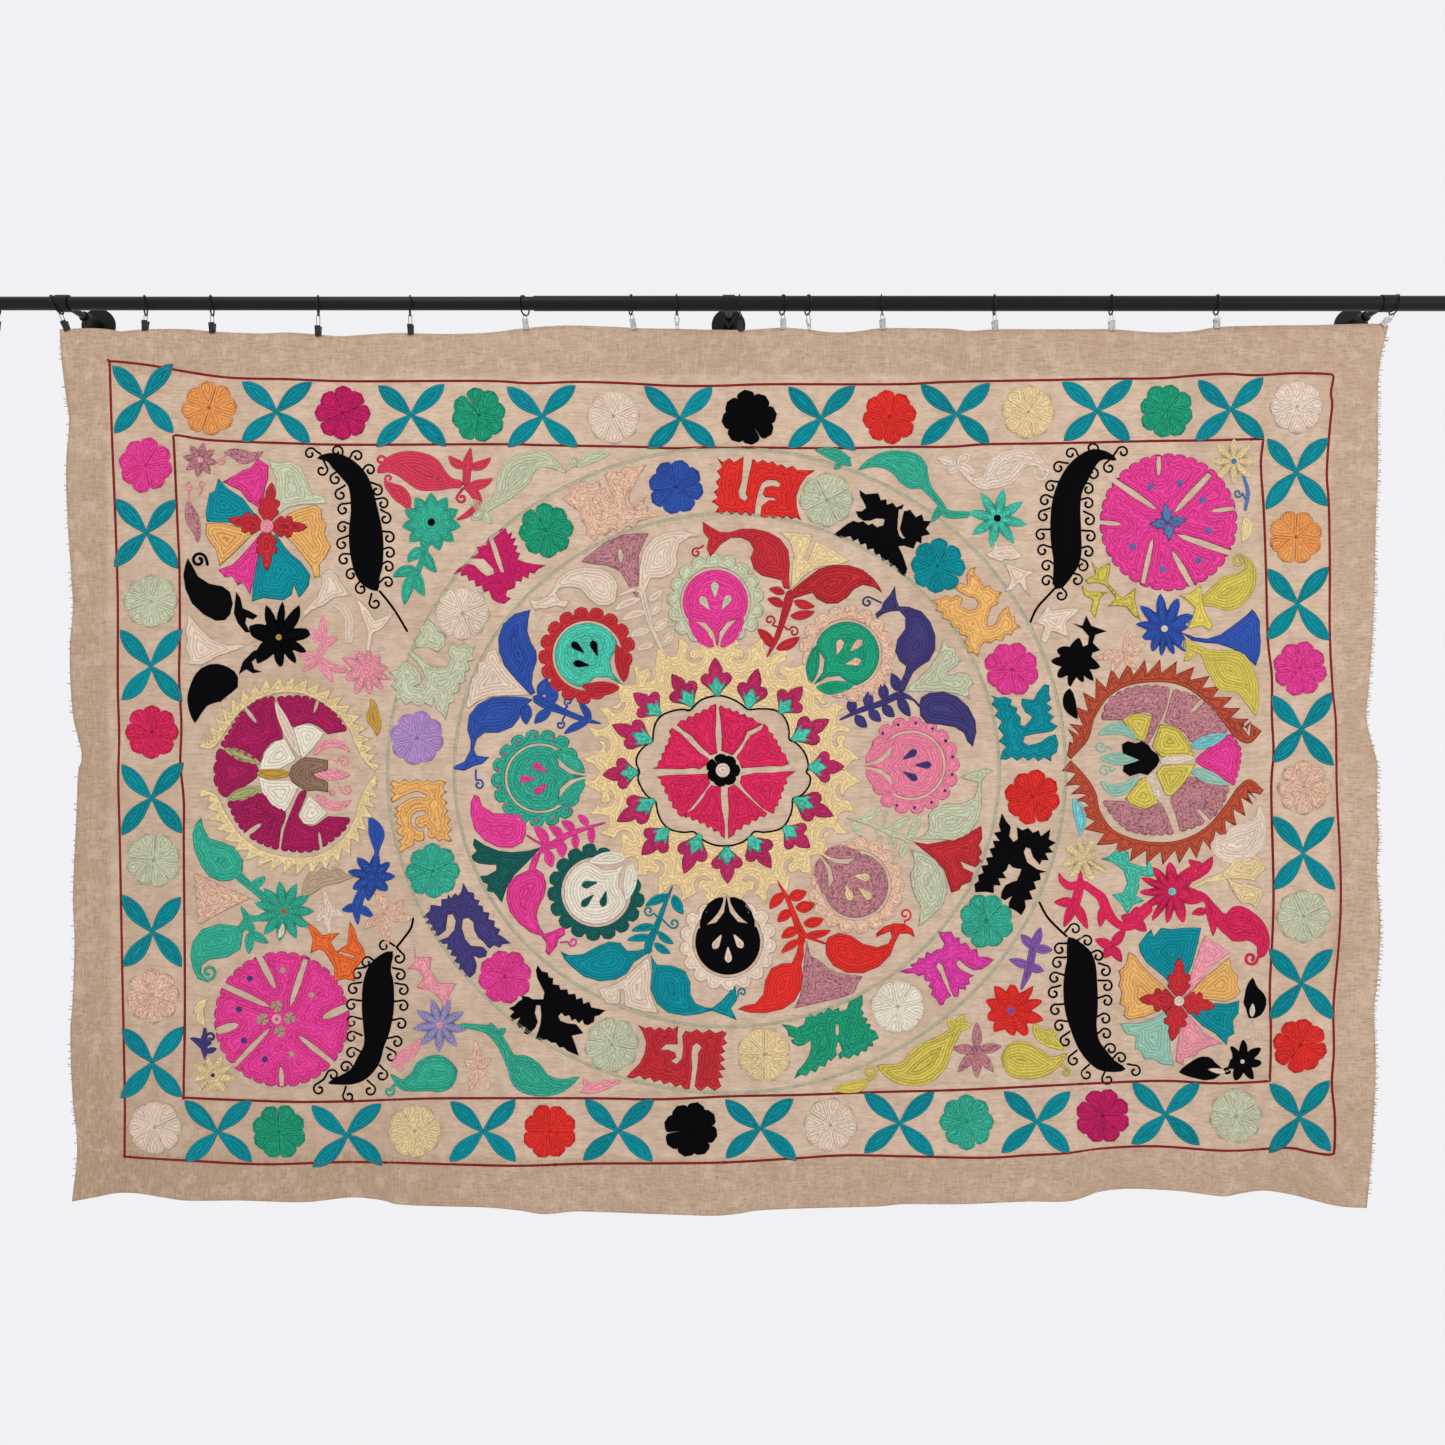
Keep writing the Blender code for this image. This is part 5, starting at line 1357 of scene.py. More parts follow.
def peppers():
    pepper(((316.8, 457.9, 1), (328, 457, 4), (337, 461, 8), (349, 470, 10.5), (359, 483, 11),
            (364, 506, 13), (366, 534, 17), (367.5, 559, 16), (370, 577, 11.5), (378, 591, 1.5)),
           ((310.5, 453.5), (322, 470), (336, 479), (341, 494.5), (343.5, 509.5), (343, 527.5),
            (342.5, 544), (344.5, 559.5), (351.5, 574.5), (361.5, 588.5), (375.5, 603), (337, 451),
            (357.5, 456), (370, 470), (377, 490.5), (383, 503.5), (385.5, 518.5), (389, 537.5),
            (389.5, 553), (388.5, 567), (388, 582.5)),
           ((379, 590), (389, 602), (398, 615), (408, 632)))
    pepper(((1117, 460, 1.5), (1105.5, 455, 4), (1093, 457, 8), (1080, 470, 12), (1070, 488, 13),
            (1066, 508, 14.5), (1066, 534, 15.5), (1067, 557, 14), (1062, 575, 9), (1056, 589, 4)),
           ((1071, 453.5), (1059, 467.5), (1051, 486.5), (1045.5, 500.5), (1044, 516), (1041.5, 535),
            (1043, 550.5), (1047, 566), (1047, 581), (1123, 452), (1109.5, 467.5), (1093, 474), (1088, 489),
            (1088, 503.5), (1089, 520), (1090, 536.5), (1088, 552), (1082.5, 566), (1077, 580), (1061, 595),
            (1092.5, 448.5)),
           ((1056, 587), (1049.5, 594), (1037, 608), (1030, 623)))
    pepper([(393, 951, 2), (386, 959, 7), (380, 970, 12), (378.5, 985, 15.5), (378, 1008, 16),
            (377, 1028, 13.5), (374, 1046, 10), (368, 1061, 11), (355, 1075.5, 8), (328, 1083, 1)],
           ((384.5, 945.7), (367, 962.4), (358, 974), (354, 989), (352, 1005), (352, 1022), (352, 1037),
            (352, 1053), (346, 1067), (333, 1075), (319.4, 1089), (399, 958), (400, 975), (403, 990),
            (403, 1006), (401, 1024), (397, 1042), (391, 1056), (382, 1075), (370, 1090), (349, 1096)),
           ((396, 948), (404, 938), (411, 928), (413.7, 917)))
    pepper([(1068.5, 936.5, 1.5), (1075, 948, 9), (1080.5, 962, 14.5), (1080.5, 985, 17),
            (1081.5, 1008, 16.5), (1084, 1028, 13), (1090, 1046, 11), (1102, 1060, 10), (1113, 1066, 6),
            (1126, 1069, 1.5)],
           ((1060, 949), (1058, 963), (1055, 978), (1054, 993), (1056, 1010), (1060, 1026), (1066, 1041),
            (1074, 1060), (1087, 1074), (1108, 1079), (1075, 929), (1087, 941), (1098, 956),
            (1105, 971), (1107, 986), (1107, 1001), (1105, 1019), (1106, 1034), (1111, 1049),
            (1121, 1058), (1135, 1071)),
           ((1039, 901), (1047, 916), (1057, 927), (1067.9, 937)))


PETAL = (
    # share of the way from the middle to the tip, share of the greatest half width
    (0.12, 0.30), (0.28, 0.85), (0.36, 0.98), (0.42, 0.72), (0.50, 1.0), (0.60, 0.92), (0.64, 0.45),
    (0.78, 0.45), (0.92, 0.25),
)


def petals_of_four(thread, x, y, tips, waist):
    """A cross of pointed petals with a shoulder on each side."""
    for tip_x, tip_y in tips:
        run = np.array((tip_x - x, tip_y - y), float)
        aside = np.array((-run[1], run[0])) / np.hypot(*run)
        outline = [(x, y)]
        for share, wide in PETAL:
            outline.append(np.array((x, y)) + run * share + aside * waist * wide)
        outline.append((tip_x, tip_y))
        for share, wide in PETAL[::-1]:
            outline.append(np.array((x, y)) + run * share - aside * waist * wide)
        patch(thread, outline, 0.6)


def round_flower(thread, x, y, radius, slits, dots):
    """A great round flower with a lobed edge, narrow open slits and small dots."""
    ring = [(x + radius * math.cos(a), y + radius * math.sin(a)) for a in np.radians(np.arange(0, 360, 15))]
    patch(thread, wavy(ring, 34, 3.0, closed=True), slits=[slit(*row) for row in slits])
    for dot, dx, dy in dots:
        disc(dot, dx, dy, 3.4, 0.7)


def top_left():
    star("mauve", 200.5, 459.6, 18, 10, 8, 10, "blush", 3.4)
    ribbon("mauve", [(224, 452, 1), (234, 453, 5), (244, 457, 7), (255, 456, 4), (264, 451, 0.5)])
    ribbon("mauve", [(188, 500, 1), (190, 510, 5), (193, 520, 7), (197, 532, 4), (198, 543, 0.5)])
    curl("blush", 221, 461, 4.5, -60, 1.2, 0.8, stem=(232, 452))
    curl("blush", 190, 487, 4.5, -90, -1.2, 0.8, stem=(189, 503))
    curl("blush", 203, 484, 4, 90, 1.2, 0.8, stem=(199, 496))

    patch("teal", walk(218.5, 478, 9, 10, 15.5, 10, 10, 13, 5, 7.5, -15, 0, -10.5, 4, -25.5, -1, -1, -8,
            1, -7.5, 2.5, -13, 5.5, -2.5))
    patch("pink", walk(222.5, 481.5, 5, -2.5, 7.5, -4, 8, -5, 7.5, -2.5, 7.5, -9, 10.5, 6.5, 0, 13,
            -2.5, 7.5, -2.5, 12.5, 1, 13, -11.5, -7.5, -5, -3, -7.5, -10))
    patch("mint", walk(268.5, 460, 10, 2.5, 13, -1.5, 10, 6.5, 6.5, 14, 3.5, 11.5, 13, 4, 2.5, 6.5,
            -23, 1, -15, 2.5, -13, 9, -2.5, -12.5, 2.5, -10.5, 0, -15))
    patch("peach", walk(276, 521, 18, -10, 20.5, -6.5, 7.5, 5, 0, 9, 5, 5, -2.5, 10.5, 6.5, 12.5,
            -5, 10.5, -6.5, 7.5, 1, 12.5, -6, 0, -3, -10, -7.5, -10, -10, -13, -10.5, -10))
    patch("teal", walk(276, 534, 13, 17.5, 12.5, 10.5, 9, 12.5, -1.5, 10.5, -5, 7.5, -5, 5, -5, -12.5,
            -2.5, 10, -8, 5, -10, -1, -10, -1.5, -11.5, 4, 1, -16.5, 5, -25.5, 5.5, -15.5))
    patch("pink", walk(262, 531.5, -2.5, 23, -4, 15, -5, 25.5, -4, -7.5, -3.5, -5, -5, 2.5, -5.5, -9,
            -7.5, 1, -6.5, -7.5, 14, -5, 13, -13))
    patch("peach", walk(259.5, 527.5, -16.5, 16.5, -13, 13, -10, 9, -2.5, -9, -1.5, -8, -6.5, -7.5,
            -3.5, -7.5, 0, -10.5, 14, -1, 15, 3.5, 10.5, 3))
    petals_of_four("brick", 267, 526, ((272, 482), (308, 527), (267, 571), (228, 519)), 11)
    disc("blush", 267, 526, 7, 1.2)

    patch("black", walk(188, 558, 4, 6.5, 6, 11.5, 11.5, 7.5, 13, 2.5, 7.5, 5.5, 3, 11.5, -2.5, 11,
            -5.5, 6, -9, 0.5, -12.5, -6.5, -11.5, -11, -6.5, -14.5, -2, -14, 2, -10))
    curl("black", 199, 560, 7.5, -10, -1.3, 1.4, stem=(208, 566))
    patch("black", walk(236.5, 591.5, 4, 6, 2.5, 10.5, 6, 2.5, 9, 5, -5, 4, -6.5, -2.5, -1, 6, 5, 9,
            -5, 0, -7.5, -9, -4, -10, 1, -10))
    flower("black", 279, 637, 17, ((266, 604), (283, 600), (300, 604), (311, 635), (308, 653), (297, 664),
                                   (281, 668), (257, 664), (249, 626)), "ochre", 3.6)
    patch("black", walk(266, 646, -13, 5, -10, 10.5, -4, 12.5, 7.5, -5, 6.5, 4, 9, -1.5, -7.5, -2.5,
            -2.5, -7.5, 6, -5))
    ribbon("black", [(238, 687, 6), (228, 683, 15), (213, 684, 20), (200, 697, 13), (196, 710, 7),
                     (195, 723, 0.5)])
    patch("cream", walk(263.5, 637, -20.5, 6.5, -15.5, 1.5, -15.5, -6.5, -14, -13, -11.5, -15, 1.5, 10,
            -2.5, 10.5, 2.5, 10, -2.5, 7.5, 4, 8, -1.5, 7.5, 14, 1.5, 15.5, -9, 20.5, -6.5))

    ribbon("rose", [(378, 473, 1), (387, 466, 7), (399, 464, 12), (413, 467, 16.5), (428, 474, 18),
                    (441, 480, 11), (452, 483, 5), (464, 484, 4)])
    curl("rose", 381, 460, 6.2, 100, -1.15, 1.2, stem=(378, 473))
    ribbon("rose", [(384, 481, 1.5), (391, 487, 5), (399, 493, 8), (406, 501, 6), (410, 511, 0.5)])
    curl("rose", 389, 478, 4.0, 120, 1.0, 1.1)
    ribbon("rose", [(466, 486, 4), (467, 474, 4), (468, 462, 5), (471, 447, 0.5)])
    leaf("rose", 467, 466, 449, 455, 4.6, -0.15)
    leaf("rose", 468, 466, 491, 457, 4.6, 0.15)
    leaf("rose", 466, 485, 493, 478, 5.0, 0.10)
    ribbon("rose", [(464, 483, 4), (474, 492, 5), (478, 504, 4), (468, 514, 3), (456, 520, 0.6)])
    curl("rose", 462, 498, 5.0, 200, -1.1, 1.2, stem=(464, 487))
    star("jade", 431.5, 522, 30, 22, 11, 8, "black", 4.2)
    ribbon("jade", [(426, 545, 3), (424, 556, 4), (420, 566, 3), (414, 580, 4), (405, 604, 0.8)])
    for tip in ((437, 572), (408, 562)):
        leaf("jade", 425, 549, *tip, 5.5, 0.1)
    for tip in ((393, 577), (425, 596), (405, 605)):
        leaf("jade", 418, 570, *tip, 5.5, 0.1)

    trefoil("mint", 484, 511, ((470, 498), (471, 520), (492, 524)), 5)
    ribbon("mint", [(482, 510, 5), (494, 503, 4), (504, 492, 10), (516, 474, 16), (530, 462, 11),
                    (546, 460, 7), (567, 473, 0.6)])
    curl("mint", 573, 461, 5.5, 110, -1.2, 1.1, stem=(566, 471))
    leaf("mint", 576, 467, 612, 453, 5.5, -0.08)

    patch("cream", walk(328.5, 568.5, 8.5, 6, 5.5, 10.5, 9, 10, -17, 2.5, -10, 8, -13, 5, -10, 10,
            2.5, -10, 13, -13, 5, -12.5, 0, -10.5))
    ribbon("cream", [(331, 603, 2), (342, 607, 4.5), (349, 618, 4.5), (349, 633, 4.5), (351, 644, 3)])
    patch("cream", walk(355, 595, 13, 13, 7.5, 12.5, 20.5, -10, -13, 18, -10, 5, -2.5, 17.5, -4, 0,
            1.5, -20, -5, -13))
    curl("cream", 384, 651, 5.5, 180, 1.2, 1.0, stem=(372, 643))
    trefoil("blush", 323, 644, ((323, 615), (309, 628), (338, 637)), 4.4)
    ribbon("blush", [(323, 640, 4), (322, 650, 4), (318, 658, 4), (336, 668, 4), (348, 670, 3)])
    trefoil("blush", 318, 658, ((298, 654), (303, 671), (334, 683)), 4.2)
    flower("blush", 367, 670, 15, ((359, 650), (369, 648), (381, 655), (390, 667), (391, 679), (384, 690),
                                   (370, 695), (356, 695), (345, 677), (341, 657)))


def top_right():
    round_flower("pink", 1168.7, 522, 66,
                 ((1111, 478, 1158, 510, 3.2), (1210, 474, 1174, 513, 3.4), (1231, 553, 1176, 534, 3.4),
                  (1193, 587, 1172, 550, 3.2), (1143, 583, 1153, 537, 2.6), (1159, 456, 1159, 476, 2.4),
                  (1234, 508, 1211, 511, 2.4), (1100, 522, 1122, 524, 2.4)),
                 (("steel", 1151, 486), ("steel", 1180, 483), ("steel", 1203, 500), ("steel", 1209, 530),
                  ("steel", 1199, 560), ("steel", 1163, 569), ("steel", 1133, 546)))
    petals_of_four("steel", 1168, 523, ((1165, 503), (1187, 519), (1170, 541), (1149, 524)), 6)
    star("corn", 1234, 461, 24, 11, 8, 0, "steel", 3.4)
    ribbon("steel", [(1243, 474, 1.2), (1248, 492, 2), (1245, 511, 1.5)])
    curl("steel", 1238, 493, 4.5, 0, 1.2, 0.9, stem=(1246, 500))
    leaf("corn", 1245, 516, 1242, 542, 5.5, -0.12)
    ribbon("lime", [(1246, 556, 2), (1250, 570, 6), (1242, 584, 14), (1227, 594, 17), (1212, 598, 9),
                    (1200, 603, 3)])
    curl("lime", 1239, 561, 7, 0, -1.3, 1.4, stem=(1250, 570))

    patch("lime", walk(1091.5, 560.5, 6.5, 8, 12.5, -6.5, -1, 12.5, -2.5, 6.5, 11.5, 14, 5, 2.5,
            12.5, -10, -1, 12.5, 2.5, 10.5, 4, 10, -8, -5, -7.5, -9, -10, -1, -8, 1, 8, -9, -10.5, -12.5,
            -7.5, -2.5, -10, 1, -3, -3.5, 10.5, -5.5))
    patch("lime", walk(1081.5, 585, 7.5, 6.5, 19, 0, -7.5, 6, -2.5, 10.5, -2.5, 10, -5, -7.5, 2.5, -10.5,
            -9, -5))
    patch("lime", walk(1178.5, 595, 10, -1, 13, -9, 1, 12.5, 2.5, 13, 8, 15, -3, 5.5, -7.5, -5.5,
            -12.5, 3, -8, -3, 10.5, -7.5, 2.5, -10, -8, -8))
    flower("blue", 1164.6, 628.4, 17, ((1160, 592), (1139, 605), (1135, 624), (1142, 637), (1152, 652),
                                       (1161, 657), (1174, 655), (1186, 652), (1194, 615), (1179, 597)),
           "cream", 3.8)
    patch("blue", walk(1179.5, 631, 15.5, 6, 12.5, 1.5, 13, -4, 12.5, -9, 13, -10, 6.5, -6.5, 3.5, 4,
            4, 7.5, 0, 10.5, 1, 10, -1, 13, -4, 11.5, -7.5, -6.5, -15.5, -10.5, -15, -5, -13, -1,
            -12.5, -2))
    ribbon("lime", [(1180, 640, 2), (1190, 645, 4), (1204, 652, 4), (1214, 660, 12), (1231, 671, 22),
                    (1246, 684, 13), (1252, 700, 7), (1256, 716, 0.6)])
    trefoil("lime", 1196, 650, ((1184, 661), (1180, 644)), 4)

    ribbon("jade", [(858, 470, 0.6), (870, 463, 4), (885, 460, 8.6), (898, 462.5, 12.5), (909, 468, 16.5),
                    (918, 478, 14), (925, 484, 6), (929.5, 490.5, 4), (941, 504, 3), (947, 513.5, 4),
                    (971, 514.5, 3)])
    leaf("jade", 852, 466, 815, 450, 6.5, 0.1)
    trefoil("jade", 842, 462, ((834, 469), (851, 457)), 3.5)
    star("turquoise", 997.5, 518, 31, 13, 8, 12, "black", 4.2, 1.0)
    leaf("jade", 943, 504, 932, 522, 4)
    for tip in ((937, 457), (948, 474), (976, 474), (972, 453)):
        leaf("shell", 957, 464, *tip, 5)
    ribbon("shell", [(960, 466, 3), (972, 480, 3), (986, 482, 8), (1003, 470, 16), (1020, 459, 11),
                     (1036, 460, 6), (1051, 474, 0.8)])
    curl("shell", 1040, 473, 8, 0, 1.3, 1.3, stem=(1050, 470))
    patch("cream", walk(996, 535, 2.5, 11.5, 12.5, -2.5, 13, 13, -13, 3.5, -6, -1, -4, 2.5, -12.5, -5,
            -3, -2.5, 8, -5.5))
    patch("cream", walk(1003.5, 562, 9, 2.5, 11.5, 5, 14, 1.5, -11.5, 6, 0, 8, 5, 12.5, -7.5, -7.5,
            -5, -7.5, -6.5, 7.5, -7.5, 1.5, 6, -11.5, -2.5, -8))

    patch("black", walk(1072.5, 623, 10, 2.5, 4, -10, 5, 10, 15.5, 5.5, -11.5, 3.5, -2.5, 8, 7.5, 7.5,
            -7.5, 2.5, -5, -6.5, 1, -10, -6.5, -7.5))
    flower("black", 1076.4, 661, 16, ((1079, 637), (1058, 648), (1050, 661), (1057, 677), (1070, 688),
                                      (1082, 682), (1094, 681), (1101, 667), (1092, 645)))
    ribbon("black", [(1070, 688, 2), (1069, 698, 6), (1071, 708, 6), (1078, 719, 0.6)])
    patch("cream", walk(1048, 601.5, 4, 9, 13, -2.5, 17.5, 0, -10, 9, -6.5, 6, 4, 15.5, -10.5, -5,
            -7.5, -2.5, -5, 12.5, -6.5, -2.5, 4, -15.5, -10.5, -2.5, 5.5, -6, 5, -6.5))
    for tip in ((1128, 630), (1146, 642), (1140, 668), (1112, 672), (1096, 660)):
        leaf("apricot", 1124, 654, *tip, 4.6, 0.08)


def left_roundel():
    band("corn", ((199, 748), (214, 748), (225, 733), (243, 710), (269, 695.5), (296, 693), (319, 701),
                  (339, 716), (351, 733), (356, 746), (364, 761), (375, 772)), 7, 22, 12, 0.35)
    band("corn", ((375, 774), (366, 786), (359, 802), (354, 819), (342, 839), (319, 854), (294, 857),
                  (263, 850), (241, 834), (226, 812), (217, 795), (201, 788)), 7, 22, 12, 0.35)
    wine = (
        (((227, 797), (218, 786), (216, 770), (220, 748)), ((242, 757), (257, 765), (257, 777),
                                                            (242, 788)), 4),
        (((222, 746), (230, 733), (243, 713), (259, 701), (275, 698)),
         ((278, 716), (283, 738), (274, 741), (264, 752), (261, 762), (243, 756)), 11),
        (((277, 699), (291, 697.5), (305, 698), (319, 703), (333, 713), (346, 731)),
         ((328, 734), (318, 726), (307, 723), (293, 727), (284, 714)), 10),
        (((279, 848), (262, 842), (248, 833), (237, 819), (229, 801)),
         ((246, 796), (265, 793), (271, 803), (286, 812), (281, 830)), 9),
        (((349, 817), (343, 829), (330, 840), (316, 848), (302, 850), (281, 848)),
         ((284, 830), (291, 811), (300, 792), (307, 792), (302, 806), (299, 817), (312, 826),
          (328, 816)), 10),
    )
    slits = [slit(*row) for row in ((244, 706, 257, 723, 2.2), (319, 697, 314, 713, 1.8),
                                    (244, 836, 262, 823, 2.6), (322, 852, 319, 831, 1.6))]
    for outer, inner, lobes in wine:
        patch("wine", wavy(outer, lobes, 2.6) + curve(*inner), slits=slits)
    ivory = (
        ((261, 762), (266, 750), (276, 741), (285, 738), (297, 760), (280, 769), (259, 770)),
        ((293, 727), (303, 724), (313, 725), (325, 733), (312, 750), (302, 760)),
        ((258, 776), (270, 780), (291, 780), (299, 787), (286, 812), (273, 806), (262, 792)),
        ((299, 816), (303, 806), (309, 794), (328, 813), (315, 825), (304, 824)),
    )
    for outline in ivory:
        patch("ivory", outline)
    leaf("olive", 224, 748, 262, 764, 5.5)
    leaf("olive", 227, 799, 264, 787, 6.5)
    leaf("ochre", 256, 773, 292, 774, 5.5)
    leaf("cream", 275, 701, 301, 759, 5, lift=0.4)
    patch("brown", walk(292, 766, 7, -6, 7, -3, 10, 1, 12, 2, 0, 10, -16, 4, 16, 8, 0, 10, -12, -2,
            -10, 1, -7, -5, -7, -4, -3, -8), 0.4)
    ribbon("blush", [(314, 755, 1), (321, 747, 3.5), (332, 743, 4), (342, 745, 3.5), (350, 752, 0.6)])
    ribbon("blush", [(316, 794, 1), (323, 801, 4), (334, 806, 4.5), (343, 805, 3.5), (352, 800, 0.6)])
    leaf("blush", 313, 774, 351, 775, 6)
    curl("blush", 344, 762, 6.5, 180, 1.3, 0.9, stem=(330, 757))
    curl("blush", 347, 789, 6, 180, -1.3, 0.9, stem=(338, 782))
    curl("blush", 332, 793, 4, 200, 1.3, 0.8)
    ribbon("ochre", [(371, 698, 0.8), (374, 707, 4), (373, 717, 7), (377, 726, 5), (377, 736, 0.6)])


def right_roundel():
    band("rust", ((1262, 731), (1250, 743), (1236, 738), (1224, 723), (1209, 705), (1187, 688), (1163, 682),
                  (1130, 685), (1108, 698), (1095, 718), (1088, 740), (1071, 759))[::-1], 9, 20, 14, 0.35)
    band("rust", ((1071, 760), (1086, 776), (1096, 792), (1101, 812), (1116, 831), (1146, 841), (1179, 840),
                  (1206, 827), (1226, 804), (1237, 788), (1250, 779), (1264, 790))[::-1], 9, 20, 14, 0.35)
    mauve = (
        (((1103, 720), (1107, 706), (1117, 695), (1136, 688), (1158, 687), (1170, 690)),
         ((1167, 706), (1160, 722), (1148, 744), (1144, 742), (1152, 715), (1137, 713), (1122, 720)), 9),
        (((1173, 691), (1187, 694), (1201, 701), (1213, 711), (1227, 732)),
         ((1208, 737), (1192, 742), (1186, 734), (1177, 727), (1164, 722)), 8),
        (((1228, 786), (1223, 801), (1214, 814), (1198, 824), (1180, 830)),
         ((1175, 812), (1171, 797), (1184, 783), (1190, 776), (1208, 782)), 8),
        (((1174, 832), (1156, 833), (1142, 832), (1128, 828), (1114, 815), (1104, 800)),
         ((1126, 801), (1135, 807), (1146, 809), (1160, 803), (1168, 816)), 10),
    )
    slits = [slit(1207, 696, 1190, 713, 2.4), slit(1212, 825, 1197, 808, 2.4)]
    for outer, inner, lobes in mauve:
        patch("mauve", wavy(outer, lobes, 2.4) + curve(*inner), slits=slits)
    lime = (
        ((1122, 720), (1130, 714), (1140, 713), (1153, 716), (1145, 742), (1137, 739)),
        ((1160, 724), (1170, 725), (1180, 729), (1191, 746), (1194, 756), (1161, 757), (1152, 746)),
        ((1196, 764), (1184, 783), (1172, 796), (1166, 795), (1156, 773), (1163, 765)),
        ((1125, 799), (1135, 806), (1146, 809), (1159, 803), (1150, 776), (1141, 778)),
    )
    for outline in lime:
        patch("lime", outline)
    patch("pink", wavy(((1229, 734), (1238, 745), (1240, 756), (1237, 772), (1233, 785)), 8, 2.0)
          + curve((1216, 774), (1200, 765), (1196, 759), (1208, 748)))
    leaf("sky", 1190, 747, 1228, 734, 6.5)
    leaf("sage", 1190, 769, 1229, 785, 6.5)
    leaf("shell", 1160, 762, 1196, 758, 5.5, -0.05)
    leaf("shell", 1147, 772, 1164, 804, 6)
    patch("black", walk(1122, 744, 6, -3, 8, 2, 6, -2, 7, 4, 3, 5, 6, 4, 2, 6, -3, 6, -4, 4, -5, 5,
            -8, -2, -10, 3, -7, -5, 1, -6, 16, -5, -17, -7), 0.6)
    ribbon("sage", [(1138, 740, 1), (1127, 731, 5), (1114, 728, 6), (1098, 735, 0.8)])
    ribbon("sage", [(1139, 775, 1), (1128, 786, 5), (1114, 790, 6), (1100, 781, 0.8)])
    leaf("sage", 1140, 759, 1099, 758, 6.5)
    curl("sage", 1101, 746, 6.5, 0, 1.3, 0.9, stem=(1112, 750))
    curl("sage", 1105, 771, 6.5, 0, -1.3, 0.9, stem=(1116, 768))
    leaf("sky", 1073, 798, 1080, 836, 6, -0.1)
    leaf("sky", 1076, 812, 1088, 815, 3.5)


